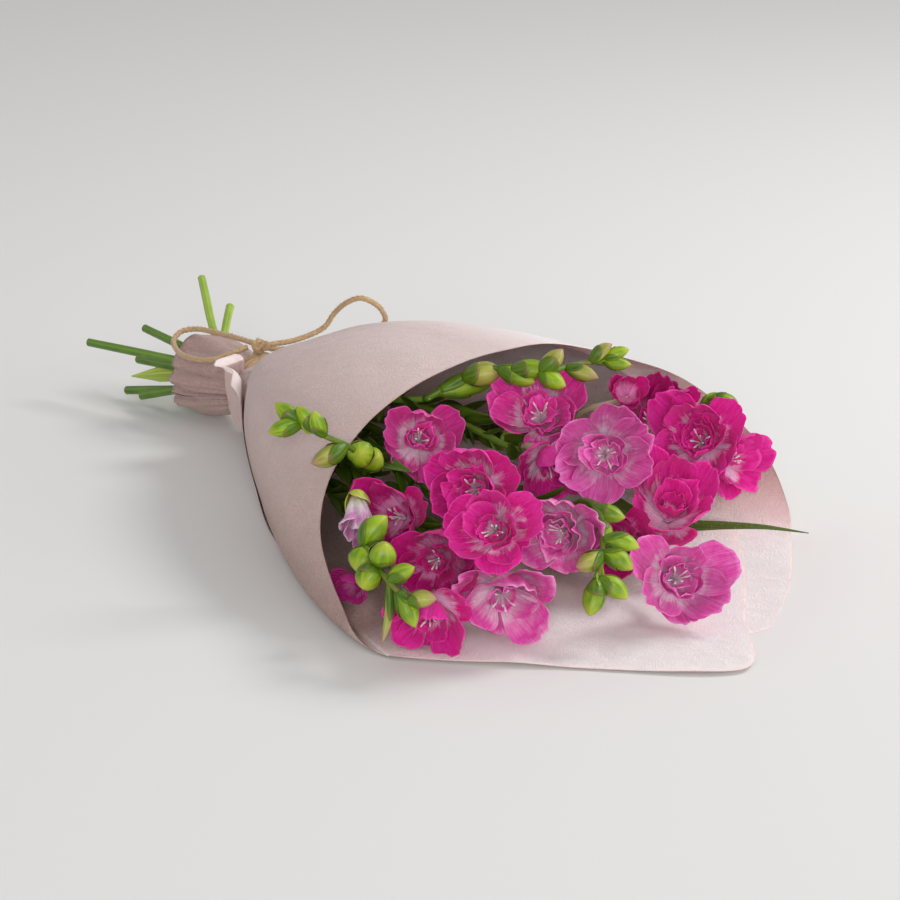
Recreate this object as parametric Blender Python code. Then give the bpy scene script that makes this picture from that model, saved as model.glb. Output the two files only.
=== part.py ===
"""A tied, wrapped bunch of double freesias lying on its side.

All places are in millimetres from the tie: X runs along the bunch from the cut ends to the
blooms, Y to its right as seen from the stems, Z up from the surface it lies on. world() turns
them into metres about the middle of the bunch's footprint.
"""
import math

import bmesh
import bpy
import numpy as np

MM = 0.001
GAP = 0.3                    # clearance between touching pieces

# The frame: what world() subtracts, so that the footprint's middle is the origin.
MIDDLE = (162.7, -24.4, 0.0)

# The neck, where the bunch is tied.
NECK_Z = 30.0
NECK_R = 17.6                # outside radius of the gathered sheet under the twine
NECK_FROM = -4.0
NECK_TO = 14.0

# The wrapping sheet.
SHEET_T = 0.8
LAYER_PITCH = 2.6            # how much one turn lies inside the next
TAIL_X = -52.0               # where the sheet ends behind the tie
TAIL_R = 27.0
TAIL_Z = 27.6
SEGMENTS = 32                # facets in one turn of the sheet
ROWS_BEHIND = 4              # rows of facets behind the tie
ROWS_AHEAD = 7               # and from the tie to the rim, a little closer together at the tie
ROW_CROWDING = 1.2
MOUTH_Z = 45.0               # height of the middle of the mouth, which the sheet's turns go round
TOP_FROM = -0.35             # how far down the roll's side its top counts from, as a sine
SIDE_FLARE = 1.3             # how much faster the sides spread than the sheet runs forward
TOP_FLARE = 0.6              # and how much more the top does
FLOOR_BY = 0.35              # how far along the roll its bottom lies flat
RIM = [                      # the flared edge, from the right foot round the lip and over the top
    (336, 107, 0), (384, 55, 0), (418, 6, 0), (449, -43, 0), (392, -104, 0), (325, -163, 0),
    (283, -159, 16), (252, -145, 46), (231, -113, 74), (221, -60, 95), (225, 10, 104),
    (236, 60, 93), (256, 104, 73), (285, 127, 42), (316, 124, 14),
]
# How far along the roll the sheet reaches, turn by turn: its inner side edge, its rim between
# the two lip corners, and its outer side edge, which comes out on the left and ends in a tip.
INNER_EDGE = [(-0.56, 0.12), (-0.40, 0.45), (-0.14, 0.80), (0.0, 0.87), (0.12, 0.94), (0.22, 1.0)]
OUTER_EDGE = [(1.15, 1.0), (1.24, 0.86), (1.33, 0.73), (1.41, 0.60), (1.47, 0.38), (1.53, 0.14)]
FREE_FROM = 1.34             # past this turn the sheet's end isn't gathered in the tie
FREE_TO = 1.4375
TIP = (0.0, -13.0, 21.0)     # how far the free corner springs away from the roll
SPRING_TO = 0.42             # how far along the roll that spring fades out
LOW_EDGE_LIFT = 0.006        # how far past the low edge the free end's rows start

# The twine.
TWINE_D = 3.2
BINDING_TURNS = 3
BINDING_X = 6.0              # middle of the turns
BINDING_SINK = 0.35          # how much further out the turns lie, for the facets of the sheet
BINDING_STEPS = 14           # facets in one turn
KNOT_HALF = 6.0              # half its length
KNOT_R = 4.4
KNOT_ROUND = 0.93            # under 1, so that its ends are small flats
KNOT = (BINDING_X, 0.0, NECK_Z + NECK_R + TWINE_D + 2.2 * GAP + KNOT_R)
LOOP_LEFT = [
    (0, -4.6, 55), (-2, -14, 52.5), (-8, -24, 49), (-27, -28, 47), (-44, -24, 47), (-54, -19, 50),
    (-56, -12, 53.5), (-49, -6, 55.5), (-34, -4, 56.5), (-16, -2.0, 57), (-1, 0, 56.5),
]
LOOP_RIGHT = [
    (7, 5.4, 56), (12, 22, 57), (15, 41, 62), (18, 46, 70), (27, 48, 78), (35, 52, 82), (39, 57, 80),
    (40, 64, 74), (37, 69, 65), (28, 62, 57), (16, 38, 52), (4, 14, 51), (1.5, 5.6, 53.5),
]
LOOP_POINTS = 19

# The stems.
STEM_D = 5.0
SPIKE_D = 3.6
TAPER_FROM = 0.35            # shares of its length between which a stem thins to its spike
TAPER_OVER = 0.5
SLOT = 5.8                   # pitch of the stems packed in the neck
ROW = SLOT * math.sin(math.radians(60))
STRAIGHT = (-10, 6, 24)      # X of the points where every stem runs straight through the neck
TAIL_ROOM = 19.2             # how far from the tail's middle a stem's axis may run
STEM_POINTS = 17
STEM_SIDES = 6

# The blooms, in shares of a cup's radius unless they are millimetres.
TUBE_R = 1.3                 # the tube where it leaves its stem, in millimetres
TUBE_FLARE = 0.17            # what it gains by its mouth
HEEL = 0.55                  # how far behind the cup's middle the tube ends
BEND = 0.4                   # share of the way from stem to heel that the tube runs straight
CUP = [(-0.35, 0.55), (-0.05, 0.86), (0.22, 1.0), (0.34, 0.93)]   # along the axis, and radius
DISH = 0.5                   # depth of the face
BLOOM_SIDES = 9
TUBE_RINGS = 6

# The buds and leaves.
BUD_SHAPE = [(0.0, 0.34), (0.28, 0.6), (0.5, 1.0), (0.75, 0.9), (0.95, 0.4)]   # along, and radius
BUD_SIDES = 6
STALK_TIP = 0.34             # radius of a spray's stalk at its end, in shares of SPIKE_D
LEAF_FLAT = 0.3              # thickness of a leaf over its width
LEAF_POINTS = 12
LEAF_LIFT = 0.7              # how far a leaf's foot stands off its stem, in millimetres

GREEN = (0.10, 0.22, 0.03)
DARK_GREEN = (0.035, 0.10, 0.018)
LIME = (0.33, 0.48, 0.06)
MAGENTA = (0.62, 0.02, 0.28)
SHEET_PINK = (0.68, 0.52, 0.52)
JUTE = (0.42, 0.25, 0.12)


def world(point):
    """Millimetres from the tie to metres in the bunch's frame."""
    return tuple((p - m) * MM for p, m in zip(point, MIDDLE))


def unit(v):
    v = np.asarray(v, float)
    return v / np.linalg.norm(v)


def smooth(points, count):
    """`count` points, evenly spaced, on a centripetal Catmull-Rom curve through `points`."""
    p = np.asarray(points, float)
    p = np.vstack([2 * p[0] - p[1], p, 2 * p[-1] - p[-2]])
    knots = np.concatenate([[0], np.cumsum(np.linalg.norm(np.diff(p, axis=0), axis=1) ** 0.5)])
    out = []
    for i in range(1, len(p) - 2):
        k = knots[i - 1:i + 3]
        for t in np.linspace(k[1], k[2], 16, endpoint=False):
            a = [((k[j + 1] - t) * p[i - 1 + j] + (t - k[j]) * p[i + j]) / (k[j + 1] - k[j])
                 for j in range(3)]
            b = [((k[j + 2] - t) * a[j] + (t - k[j]) * a[j + 1]) / (k[j + 2] - k[j]) for j in range(2)]
            out.append(((k[2] - t) * b[0] + (t - k[1]) * b[1]) / (k[2] - k[1]))
    out = np.array(out + [p[-2]])
    along = np.concatenate([[0], np.cumsum(np.linalg.norm(np.diff(out, axis=0), axis=1))])
    want = np.linspace(0, along[-1], count)
    return np.column_stack([np.interp(want, along, out[:, j]) for j in range(3)])


def material(name, colour, roughness):
    mat = bpy.data.materials.new(name)
    mat.use_nodes = True
    shader = mat.node_tree.nodes["Principled BSDF"]
    shader.inputs["Base Color"].default_value = (*colour, 1.0)
    shader.inputs["Roughness"].default_value = roughness
    shader.inputs["Metallic"].default_value = 0.0
    return mat


def add_object(name, vertices, faces, colour, roughness=0.5):
    """A smooth-shaded object from vertices in millimetres from the tie."""
    mesh = bpy.data.meshes.new(name)
    mesh.from_pydata([world(v) for v in vertices], [], faces)
    mesh.validate()
    build = bmesh.new()
    build.from_mesh(mesh)
    bmesh.ops.recalc_face_normals(build, faces=build.faces)
    if build.calc_volume(signed=True) < 0:
        bmesh.ops.reverse_faces(build, faces=build.faces)
    build.to_mesh(mesh)
    build.free()
    mesh.shade_smooth()
    mesh.set_sharp_from_angle(angle=math.radians(50))
    mesh.materials.append(material(name, colour, roughness))
    obj = bpy.data.objects.new(name, mesh)
    bpy.context.scene.collection.objects.link(obj)
    return obj


def frames(path):
    """Tangent and two side vectors at each point of a path, carried along without twist."""
    tangents = np.gradient(path, axis=0)
    tangents /= np.linalg.norm(tangents, axis=1)[:, None]
    side = unit(np.cross(tangents[0], (0.3, 0.2, 1.0)))
    sides = []
    for t in tangents:
        side = unit(side - t * (side @ t))
        sides.append(side)
    sides = np.array(sides)
    return tangents, sides, np.cross(tangents, sides)


def loft(path, radii, sides, flat=1.0, dent=0.0):
    """Rings of `sides` points round a path, closed with a point at each end."""
    tangent, across, up = frames(path)
    angle = np.arange(sides) * 2 * math.pi / sides
    rings = (path[:, None] + np.asarray(radii)[:, None, None]
             * (np.cos(angle)[None, :, None] * across[:, None]
                + flat * np.sin(angle)[None, :, None] * up[:, None]))
    vertices = [tuple(v) for v in rings.reshape(-1, 3)]
    faces = []
    for i in range(len(path) - 1):
        for j in range(sides):
            k = (j + 1) % sides
            faces.append((i * sides + j, i * sides + k, (i + 1) * sides + k, (i + 1) * sides + j))
    first, last = len(vertices), len(vertices) + 1
    vertices += [tuple(path[0]), tuple(path[-1] - tangent[-1] * dent)]
    top = (len(path) - 1) * sides
    for j in range(sides):
        k = (j + 1) % sides
        faces.append((first, k, j))
        faces.append((last, top + j, top + k))
    return vertices, faces


# ---------------------------------------------------------------- the wrapping sheet

def rim_point(turn):
    """The rim as a closed smooth curve, one turn long, starting at the right foot."""
    p = np.array(RIM, float)
    chords = np.linalg.norm(np.roll(p, -1, axis=0) - p, axis=1)
    starts = np.concatenate([[0], np.cumsum(chords)]) / chords.sum()
    t = turn % 1.0
    i = min(int(np.searchsorted(starts, t, side="right")) - 1, len(p) - 1)
    s = (t - starts[i]) / (starts[i + 1] - starts[i])
    a, b, c, d = (p[(i + j) % len(p)] for j in (-1, 0, 1, 2))
    point = 0.5 * (2 * b + (c - a) * s + (2 * a - 5 * b + 4 * c - d) * s ** 2
                   + (3 * b - a - 3 * c + d) * s ** 3)
    if b[2] == 0 and c[2] == 0:
        point[2] = 0.0
    point[2] = max(point[2], 0.0)
    return point


def sheet_point(turn, v, inset):
    """A point of the roll: v is 0 at the neck, 1 at the rim and below 0 behind the tie.

    From the neck's circle the sheet flares to the rim: X grows evenly with v, the sides
    spread at first faster than X, the top faster still, and the bottom soon lies flat.
    inset is how far the point lies inside the roll's outermost surface.
    """
    rim = rim_point(turn)
    angle = math.atan2(rim[2] - MOUTH_Z, rim[1])
    out = np.array([0.0, math.cos(angle), math.sin(angle)])
    neck = np.array([NECK_TO, 0.0, NECK_Z]) + out * NECK_R
    if v < 0:
        x = NECK_TO + v * (NECK_TO - TAIL_X)
        s = min(max((NECK_FROM - x) / (NECK_FROM - TAIL_X), 0.0), 1.0)
        s = math.sin(0.5 * math.pi * s)
        radius = NECK_R + (TAIL_R - NECK_R) * s - inset
        return np.array([x, 0.0, NECK_Z + (TAIL_Z - NECK_Z) * s]) + out * radius
    high = min(max((out[2] - TOP_FROM) / (1 - TOP_FROM), 0.0), 1.0)
    x = neck[0] + (rim[0] - neck[0]) * v
    y = neck[1] + (rim[1] - neck[1]) * (1 - (1 - v) ** (SIDE_FLARE + TOP_FLARE * high))
    settle = high * (1 - v) ** 2.5 + (1 - high) * max(0.0, 1 - v / FLOOR_BY) ** 2
    z = rim[2] + (neck[2] - rim[2]) * settle
    blend = min(v / 0.3, 1.0)
    inward = -out if rim[2] > 0 else -out * (1 - blend) + np.array([0.0, 0.0, 1.0]) * blend
    return np.array([x, y, z]) + unit(inward) * inset


def sheet_span(turn):
    """How far along the roll the sheet reaches at a turn: from its low edge to its rim or side."""
    ends = INNER_EDGE + OUTER_EDGE
    high = float(np.interp(turn, [t for t, v in ends], [v for t, v in ends]))
    free = min(max((turn - FREE_FROM) / (FREE_TO - FREE_FROM), 0.0), 1.0)
    return free - 1.0, high


def sheet_spring(turn, v):
    """The free corner stands away from the roll, most at its tip."""
    free = min(max((turn - FREE_TO) / (OUTER_EDGE[-1][0] - FREE_TO), 0.0), 1.0)
    return np.array(TIP) * free * max(0.0, 1.0 - v / SPRING_TO) ** 1.5


def build_wrap():
    """One closed thin body: the sheet's outer and inner surfaces joined along its four edges."""
    first, last = INNER_EDGE[0][0], OUTER_EDGE[-1][0]
    turns = np.arange(round(first * SEGMENTS), round(last * SEGMENTS) + 1) / SEGMENTS
    behind = np.linspace(0, 1, ROWS_BEHIND + 1)[:-1]
    ahead = np.linspace(0, 1, ROWS_AHEAD + 1) ** ROW_CROWDING
    outer, inner = [], []
    for turn in turns:
        low, high = sheet_span(turn)
        tie = max(low + LOW_EDGE_LIFT, 0.0)
        for v in np.concatenate([low + (tie - low) * behind, tie + (high - tie) * ahead]):
            inset = LAYER_PITCH * max(1.0 - turn, 0.0)
            spring = sheet_spring(turn, v)
            outer.append(sheet_point(turn, v, inset) + spring)
            inner.append(sheet_point(turn, v, inset + SHEET_T) + spring)
    n, m = len(turns), len(behind) + len(ahead)
    faces = []
    shift = n * m
    for i in range(n - 1):
        for j in range(m - 1):
            a, b, c, d = i * m + j, i * m + j + 1, (i + 1) * m + j + 1, (i + 1) * m + j
            faces.append((a, b, c, d))
            faces.append((a + shift, d + shift, c + shift, b + shift))
    edge = ([(i * m, (i + 1) * m) for i in range(n - 1)]
            + [((n - 1) * m + j, (n - 1) * m + j + 1) for j in range(m - 1)]
            + [((i + 1) * m + m - 1, i * m + m - 1) for i in range(n - 1)]
            + [(j + 1, j) for j in range(m - 1)])
    for a, b in edge:
        faces.append((a, b, b + shift, a + shift))
    add_object("wrap_sheet", outer + inner, faces, SHEET_PINK, 0.8)


# ---------------------------------------------------------------- the twine

def build_twine():
    """Three turns round the neck, a knot on top of them, and the two loops of the bow."""
    radius = NECK_R + GAP + 0.5 * TWINE_D + BINDING_SINK
    angle = np.linspace(0, 2 * math.pi * BINDING_TURNS, BINDING_STEPS * BINDING_TURNS + 1)
    pitch = TWINE_D + 2 * GAP
    path = np.column_stack([
        BINDING_X + pitch * (angle / (2 * math.pi) - BINDING_TURNS / 2),
        radius * np.sin(angle),
        NECK_Z + radius * np.cos(angle),
    ])
    add_object("twine_binding", *loft(path, np.full(len(path), TWINE_D / 2), 6), JUTE, 0.9)
    steps = np.linspace(-1, 1, 9)
    path = np.array(KNOT) + np.outer(steps * KNOT_HALF, (1, 0, 0))
    radii = KNOT_R * np.sqrt(1 - (KNOT_ROUND * steps) ** 2)
    add_object("twine_knot", *loft(path, radii, 8), JUTE, 0.9)
    build_cord("twine_loop_left", LOOP_LEFT)
    build_cord("twine_loop_right", LOOP_RIGHT)


def build_cord(name, route):
    """A length of twine: a round curve with filled ends through a smooth route."""
    curve = bpy.data.curves.new(name, "CURVE")
    curve.dimensions = "3D"
    curve.bevel_depth = 0.5 * TWINE_D * MM
    curve.bevel_resolution = 2
    curve.use_fill_caps = True
    spline = curve.splines.new("POLY")
    spline.points.add(LOOP_POINTS - 1)
    for point, place in zip(spline.points, smooth(route, LOOP_POINTS)):
        point.co = (*world(place), 1.0)
    curve.materials.append(material(name, JUTE, 0.9))
    obj = bpy.data.objects.new(name, curve)
    bpy.context.scene.collection.objects.link(obj)


# ---------------------------------------------------------------- the stems

# Each stem: its cut end, its place in the neck (columns and rows of the packing), and the
# points of its flowering end.
STEMS = {
    "stem_01": ((-107, -18, 6), (-1.0, -0.5),
                [(110, -44, 26), (190, -88, 28), (236, -112, 32), (272, -133, 36)]),
    "stem_02": ((-64, -2, 4.5), (-0.5, -1.5),
                [(120, -40, 14), (215, -82, 15), (270, -106, 18), (296, -116, 20)]),
    "stem_03": ((-84, -23, 9), (-1.5, 0.5), [(100, -38, 38), (170, -68, 44), (212, -86, 50)]),
    "stem_04": ((-110, -7, 23), (-0.5, 0.5),
                [(120, -34, 34), (220, -70, 30), (285, -92, 30), (322, -93, 46)]),
    "stem_05": ((-123, -34, 36), (-1.0, 1.5),
                [(100, -28, 48), (170, -48, 48), (225, -64, 46), (268, -76, 48)]),
    "stem_06": ((-118, 4, 39), (0.5, 0.5), [(120, -10, 32), (220, -28, 35), (290, -30, 40), (312, -30, 46)]),
    "stem_07": ((-89, 48, 51), (1.0, 1.5), [(100, 8, 47), (170, 8, 50), (225, 0, 50), (268, -2, 50)]),
    "stem_08": ((-72, 9, 5), (0.0, -0.5), [(120, -2, 18), (220, -8, 16), (290, -8, 18), (336, -10, 20)]),
    "stem_09": ((-105, 26, 26), (1.5, 0.5), [(100, 28, 38), (180, 50, 42), (236, 64, 44), (268, 80, 46)]),
    "stem_10": ((-90, 22, 12), (1.0, -0.5), [(100, 34, 24), (170, 62, 26), (214, 82, 30), (252, 96, 30)]),
    "stem_11": ((-110, 42, 66), (0.0, 1.5), [(90, -12, 58), (150, -30, 70), (186, -48, 76), (213, -46, 82)]),
}


def stem_path(name):
    """Cut end, out of the sheet's tail, straight through the neck, then on to the flowers."""
    cut, (column, row), front = STEMS[name]
    y, z = column * SLOT, NECK_Z + row * ROW
    neck = [np.array((x, y, z)) for x in STRAIGHT]
    share = (TAIL_X - neck[0][0]) / (cut[0] - neck[0][0])
    leave = neck[0] + (np.array(cut) - neck[0]) * share
    off = leave[1:] - (0, TAIL_Z)
    reach = np.linalg.norm(off)
    leave[1:] = np.array((0, TAIL_Z)) + off * min(1.0, TAIL_ROOM / reach)
    return smooth([cut, leave, *neck, *front], STEM_POINTS)


def stem_radius(share):
    """Full thickness to the middle, then tapering to the spike."""
    return 0.5 * (STEM_D + (SPIKE_D - STEM_D) * np.clip((share - TAPER_FROM) / TAPER_OVER, 0, 1))


def build_stems():
    for name in STEMS:
        path = stem_path(name)
        radii = stem_radius(np.linspace(0, 1, len(path)))
        add_object(name, *loft(path, radii, STEM_SIDES), GREEN, 0.45)


# ---------------------------------------------------------------- the blooms

TO_VIEW = unit((0.706, -0.625, 0.333))       # the way the open side of the wrap faces
ALONG_RIGHT = unit((0.643, 0.766, 0.0))
ALONG_UP = np.cross(ALONG_RIGHT, -TO_VIEW)

# Each bloom: centre of its cup, how far it turns right and up, cup radius, its stem and the
# share of the stem's length where it springs from it.
BLOOMS = {
    "bloom_01": ((228, -62, 66), (0.1, 0.15), 13.5, "stem_05", 0.81),
    "bloom_02": ((304, -89, 65), (-0.3, -0.1), 18, "stem_05", 1.0),
    "bloom_03": ((350, -115, 62), (-0.15, 0.1), 16, "stem_04", 1.0),
    "bloom_04": ((315, -122, 39), (-0.1, -0.15), 14.5, "stem_02", 0.94),
    "bloom_05": ((344, -105, 24), (0.15, -0.45), 16.5, "stem_04", 0.94),
    "bloom_06": ((339, -61, 46), (-0.35, -0.1), 16.5, "stem_06", 0.94),
    "bloom_07": ((250, 3, 72), (-0.1, 0.35), 17, "stem_07", 0.87),
    "bloom_08": ((312, -8, 68), (0.0, -0.05), 17, "stem_07", 1.0),
    "bloom_09": ((279, -17, 58), (0.35, -0.5), 13, "stem_07", 0.94),
    "bloom_10": ((301, 71, 56), (-0.3, 0.2), 18.5, "stem_09", 0.92),
    "bloom_11": ((290, 103, 36), (0.9, 0.1), 12, "stem_10", 1.0),
    "bloom_12": ((329, 23, 36), (0.1, 0.6), 18, "stem_08", 0.94),
    "bloom_13": ((383, -25, 25), (0.2, 0.1), 16.5, "stem_08", 1.0),
    "bloom_14": ((332, -18, 30), (-0.3, 0.1), 11, "stem_08", 0.94),
    "bloom_15": ((264, -134, 14), (-0.4, -0.3), 8.5, "stem_01", 0.94),
    "bloom_16": ((331, -140, 20), (-0.1, -0.6), 12.5, "stem_02", 1.0),
    "bloom_17": ((265, -105, 44), (-0.5, 0.1), 11, "stem_01", 0.87),
    "bloom_18": ((238, 94, 46), (0.1, 0.4), 13, "stem_10", 0.94),
    "bloom_19": ((264, -131, 53), (0.2, -1.2), 8.5, "stem_01", 0.94),
    "bloom_20": ((268, 48, 79), (0.0, 0.3), 8.5, "stem_09", 0.86),
    "bloom_21": ((286, 70, 76), (0.3, 0.1), 6.0, "stem_09", 0.97),
}


def bloom_facing(turned):
    right, up = turned
    return unit(TO_VIEW + right * ALONG_RIGHT + up * ALONG_UP)


def seat(stem, share, target):
    """Where a piece starts, just clear of its stem, and the way it leaves it.

    At share 1 it goes straight on from the stem's end; before that it leaves square to the
    stem, on the side of the target.
    """
    path = stem_path(stem)
    at = share * (len(path) - 1)
    i = min(int(at), len(path) - 2)
    tangent = unit(path[i + 1] - path[i])
    place = path[i] + (path[i + 1] - path[i]) * (at - i)
    if share == 1.0:
        return place + tangent * GAP, tangent
    away = np.array(target, float) - place
    away = unit(away - tangent * (away @ tangent))
    return place + away * (stem_radius(share) + GAP), away


def bloom_path(name):
    """A tube that leaves its stem and bends round to face the way the bloom opens."""
    centre, turned, radius, stem, share = BLOOMS[name]
    centre = np.array(centre, float)
    facing = bloom_facing(turned)
    start, away = seat(stem, share, centre - facing * radius)
    heel = centre - facing * HEEL * radius
    t = np.linspace(0, 1, TUBE_RINGS)[:, None]
    reach = BEND * np.linalg.norm(heel - start)
    a, b, c, d = start, start + away * reach, heel - facing * reach, heel
    curve = (1 - t) ** 3 * a + 3 * (1 - t) ** 2 * t * b + 3 * (1 - t) * t ** 2 * c + t ** 3 * d
    return np.vstack([start, start + away, curve[1:]]), centre, facing, radius


def build_blooms():
    """A slender tube that opens into a shallow cup with a dished face."""
    for name in BLOOMS:
        curve, centre, facing, radius = bloom_path(name)
        tube = np.linspace(0, 1, len(curve))
        radii = list(TUBE_R + TUBE_FLARE * radius * tube ** 2)
        path = list(curve)
        for along, wide in CUP:
            path.append(centre + facing * along * radius)
            radii.append(wide * radius)
        vertices, faces = loft(np.array(path), radii, BLOOM_SIDES, dent=DISH * radius)
        add_object(name, vertices, faces, MAGENTA, 0.5)


# ---------------------------------------------------------------- buds and leaves

# Each spray goes on from the end of a stem: the points of its stalk, then its buds as the
# share of the stalk where each sits, the way it points (right, up, outwards), length, radius.
SPRAYS = {
    "bud_spray_top": ("stem_11", [(222, -34, 90), (228, -22, 97), (240, -20, 100), (252, -16, 100),
                                  (264, -6, 101), (267, 12, 102), (271, 28, 102)], [
        (0.13, (1, 0.25, -0.25), 30, 5.6), (0.30, (1, 0.15, 0.3), 19, 5.6), (0.46, (1, -0.4, 0.4), 19, 4.6),
        (0.55, (1, 0.1, 0.2), 17, 4.8), (0.68, (0.7, 0.7, 0), 15, 4.2), (0.66, (0.9, -0.5, 0.3), 14, 4.2),
        (0.82, (1, -0.35, 0.2), 16, 3.6), (0.92, (0.7, 0.6, 0), 13, 3.0), (0.99, (1, 0.45, 0), 13, 3.0),
        (0.97, (1, -0.15, 0.2), 13, 3.0)]),
    "bud_spray_left": ("stem_03", [(224, -96, 60), (234, -107, 69), (240, -117, 77), (240, -127, 83),
                                   (233, -134, 87), (227, -138, 90)], [
        (0.30, (0.7, 0.2, 0.8), 12, 5.4), (0.48, (0.1, 0.1, 1), 12, 5.8), (0.72, (-0.9, -0.5, 0.3), 18, 4.5),
        (0.82, (-0.3, 0.8, 0.4), 13, 3.6), (0.90, (-0.5, 0.8, 0.1), 13, 3.4), (0.99, (-0.7, 0.6, 0), 15, 4.0),
        (0.99, (-1, -0.25, 0.2), 15, 4.0)]),
    "bud_spray_low": ("stem_01", [(284, -144, 43), (296, -153, 47), (310, -160, 48), (326, -166, 46),
                                  (338, -168, 42), (346, -166, 37)], [
        (0.40, (0.7, 0.9, 0.1), 17, 5.4), (0.48, (-0.3, -0.7, 0.8), 13, 5.8),
        (0.66, (0.3, 0.7, 0.6), 13, 5.6),
        (0.72, (-0.5, -0.8, 0.6), 13, 5.4), (0.84, (0.9, 0.5, 0.3), 13, 3.8), (0.99, (1, 0.1, 0.4), 13, 3.6),
        (0.96, (0.5, -1, 0.1), 17, 4.2), (0.88, (-0.1, -1, 0.1), 26, 1.8), (0.25, (0.3, -1, 0.5), 18, 2.4)]),
    "bud_spray_middle": ("stem_06", [(326, -35, 53), (343, -44, 57), (357, -52, 55), (368, -61, 50),
                                     (376, -69, 42), (380, -75, 36)], [
        (0.30, (0.4, -0.7, 0.5), 14, 3.4), (0.46, (0.8, -0.3, 0.4), 15, 3.8), (0.58, (0.1, -1, 0.5), 12, 3.4),
        (0.74, (1, -0.2, 0.1), 16, 4.0), (0.82, (0.9, -0.5, 0.3), 15, 4.2),
        (0.86, (-0.8, -0.4, 0.5), 15, 4.2),
        (0.99, (-0.2, -0.8, 0.3), 17, 4.8), (0.99, (0.9, -0.6, 0.1), 15, 4.4)]),
    "bud_spray_right": ("stem_09", [(275, 86, 57), (281, 89, 66), (286, 91, 71)], [
        (0.80, (0.8, 0.3, 0), 12, 3.6), (0.99, (1, -0.2, 0.2), 15, 4.0)]),
}

# Each leaf: the stem it springs from and where on it, the points it passes, half width.
LEAVES = {
    "leaf_blade": ("stem_10", 0.66, [(204, 62, 24), (250, 52, 15), (296, 46, 14), (332, 50, 22),
                                     (358, 57, 27), (384, 68, 28)], 3.6),
    "leaf_bract": ("stem_03", 0.95, [(216, -76, 56), (232, -86, 60), (252, -86, 60)], 4.0),
    "leaf_sheath": ("stem_04", 0.12, [(-72, 3, 20.5), (-90, -4, 17.5), (-108, -14, 14)], 4.6),
}


def view_direction(right, up, out):
    return unit(right * ALONG_RIGHT + up * ALONG_UP + out * TO_VIEW)


def join_solids(body, others):
    """Makes one closed body of a stalk and the buds that grow from it."""
    for other in others:
        other.hide_render = True
        other.display_type = "WIRE"
        union = body.modifiers.new(other.name, "BOOLEAN")
        union.operation = "UNION"
        union.solver = "EXACT"
        union.object = other


def build_sprays():
    for name, (stem, points, buds) in SPRAYS.items():
        start, away = seat(stem, 1.0, points[0])
        path = np.vstack([start, smooth([start + away, *points], 2 * len(points) + 1)])
        radii = np.linspace(0.5 * SPIKE_D, STALK_TIP * SPIKE_D, len(path))
        stalk = add_object(name, *loft(path, radii, STEM_SIDES), LIME, 0.5)
        others = []
        for number, (share, pointing, length, radius) in enumerate(buds):
            foot = path[int(round(share * (len(path) - 1)))]
            way = view_direction(*pointing)
            axis = foot + np.outer([along for along, wide in BUD_SHAPE], way) * length
            wide = [share_wide * radius for along, share_wide in BUD_SHAPE]
            others.append(add_object(f"{name}_bud_{number}", *loft(axis, wide, BUD_SIDES), LIME, 0.5))
        join_solids(stalk, others)


def leaf_outline(t):
    """Width along a leaf, as a share of the widest: a narrow foot, parallel sides, a point."""
    return np.clip(0.25 + 2.2 * t, 0, 1) * np.clip(2.6 * (1 - t) + 0.12, 0, 1)


def build_leaves():
    """Flat blades that start just clear of the stem they sheathe and end in a point."""
    for name, (stem, share, points, half) in LEAVES.items():
        start, away = seat(stem, share, points[0])
        path = smooth([start + away * LEAF_LIFT, *points], LEAF_POINTS)
        t = np.linspace(0, 1, len(path))
        radii = half * leaf_outline(t)
        add_object(name, *loft(path, radii, STEM_SIDES, flat=LEAF_FLAT), DARK_GREEN, 0.5)


def build():
    for obj in list(bpy.data.objects):
        bpy.data.objects.remove(obj)
    build_wrap()
    build_twine()
    build_stems()
    build_blooms()
    build_sprays()
    build_leaves()


build()
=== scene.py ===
"""A wrapped and tied bunch of double freesias, made as fine surfaces over its CAD frame.

All places are in millimetres from the tie: X runs along the bunch from the cut ends to the
blooms, Y to its right as seen from the stems, Z up from the surface it lies on. to_world()
turns them into metres in the frame of the CAD model.
"""
import math

import bpy
import numpy as np
from bpy.props import FloatProperty, FloatVectorProperty, IntProperty, PointerProperty
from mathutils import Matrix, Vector


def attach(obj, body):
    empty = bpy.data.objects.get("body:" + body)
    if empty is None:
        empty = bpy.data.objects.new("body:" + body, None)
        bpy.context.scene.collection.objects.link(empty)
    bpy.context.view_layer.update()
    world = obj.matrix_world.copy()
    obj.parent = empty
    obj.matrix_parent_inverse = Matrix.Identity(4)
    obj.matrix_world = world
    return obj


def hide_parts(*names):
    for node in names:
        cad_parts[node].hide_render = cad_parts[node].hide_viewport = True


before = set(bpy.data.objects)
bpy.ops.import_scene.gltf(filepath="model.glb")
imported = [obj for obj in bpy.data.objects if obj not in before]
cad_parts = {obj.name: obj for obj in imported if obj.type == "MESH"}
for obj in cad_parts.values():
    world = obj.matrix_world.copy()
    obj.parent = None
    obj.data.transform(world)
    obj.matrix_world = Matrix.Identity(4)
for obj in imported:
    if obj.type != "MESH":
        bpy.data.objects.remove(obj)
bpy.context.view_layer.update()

bl_info = {
    "name": "Wrapped freesia bunch",
    "version": (1, 0, 0),
    "blender": (4, 5, 0),
    "location": "View3D > Sidebar > Freesia",
    "description": "Builds the petals, buds, stems, leaves, wrap and twine of a bunch of freesias",
    "category": "Add Mesh",
}

MM = 0.001
MIDDLE = np.array([162.7, -24.4, 0.0])       # the footprint's middle, from the tie
GAP = 0.3                                    # clearance between a stem and what grows from it

# ---------------------------------------------------------------- the bunch's layout

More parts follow.
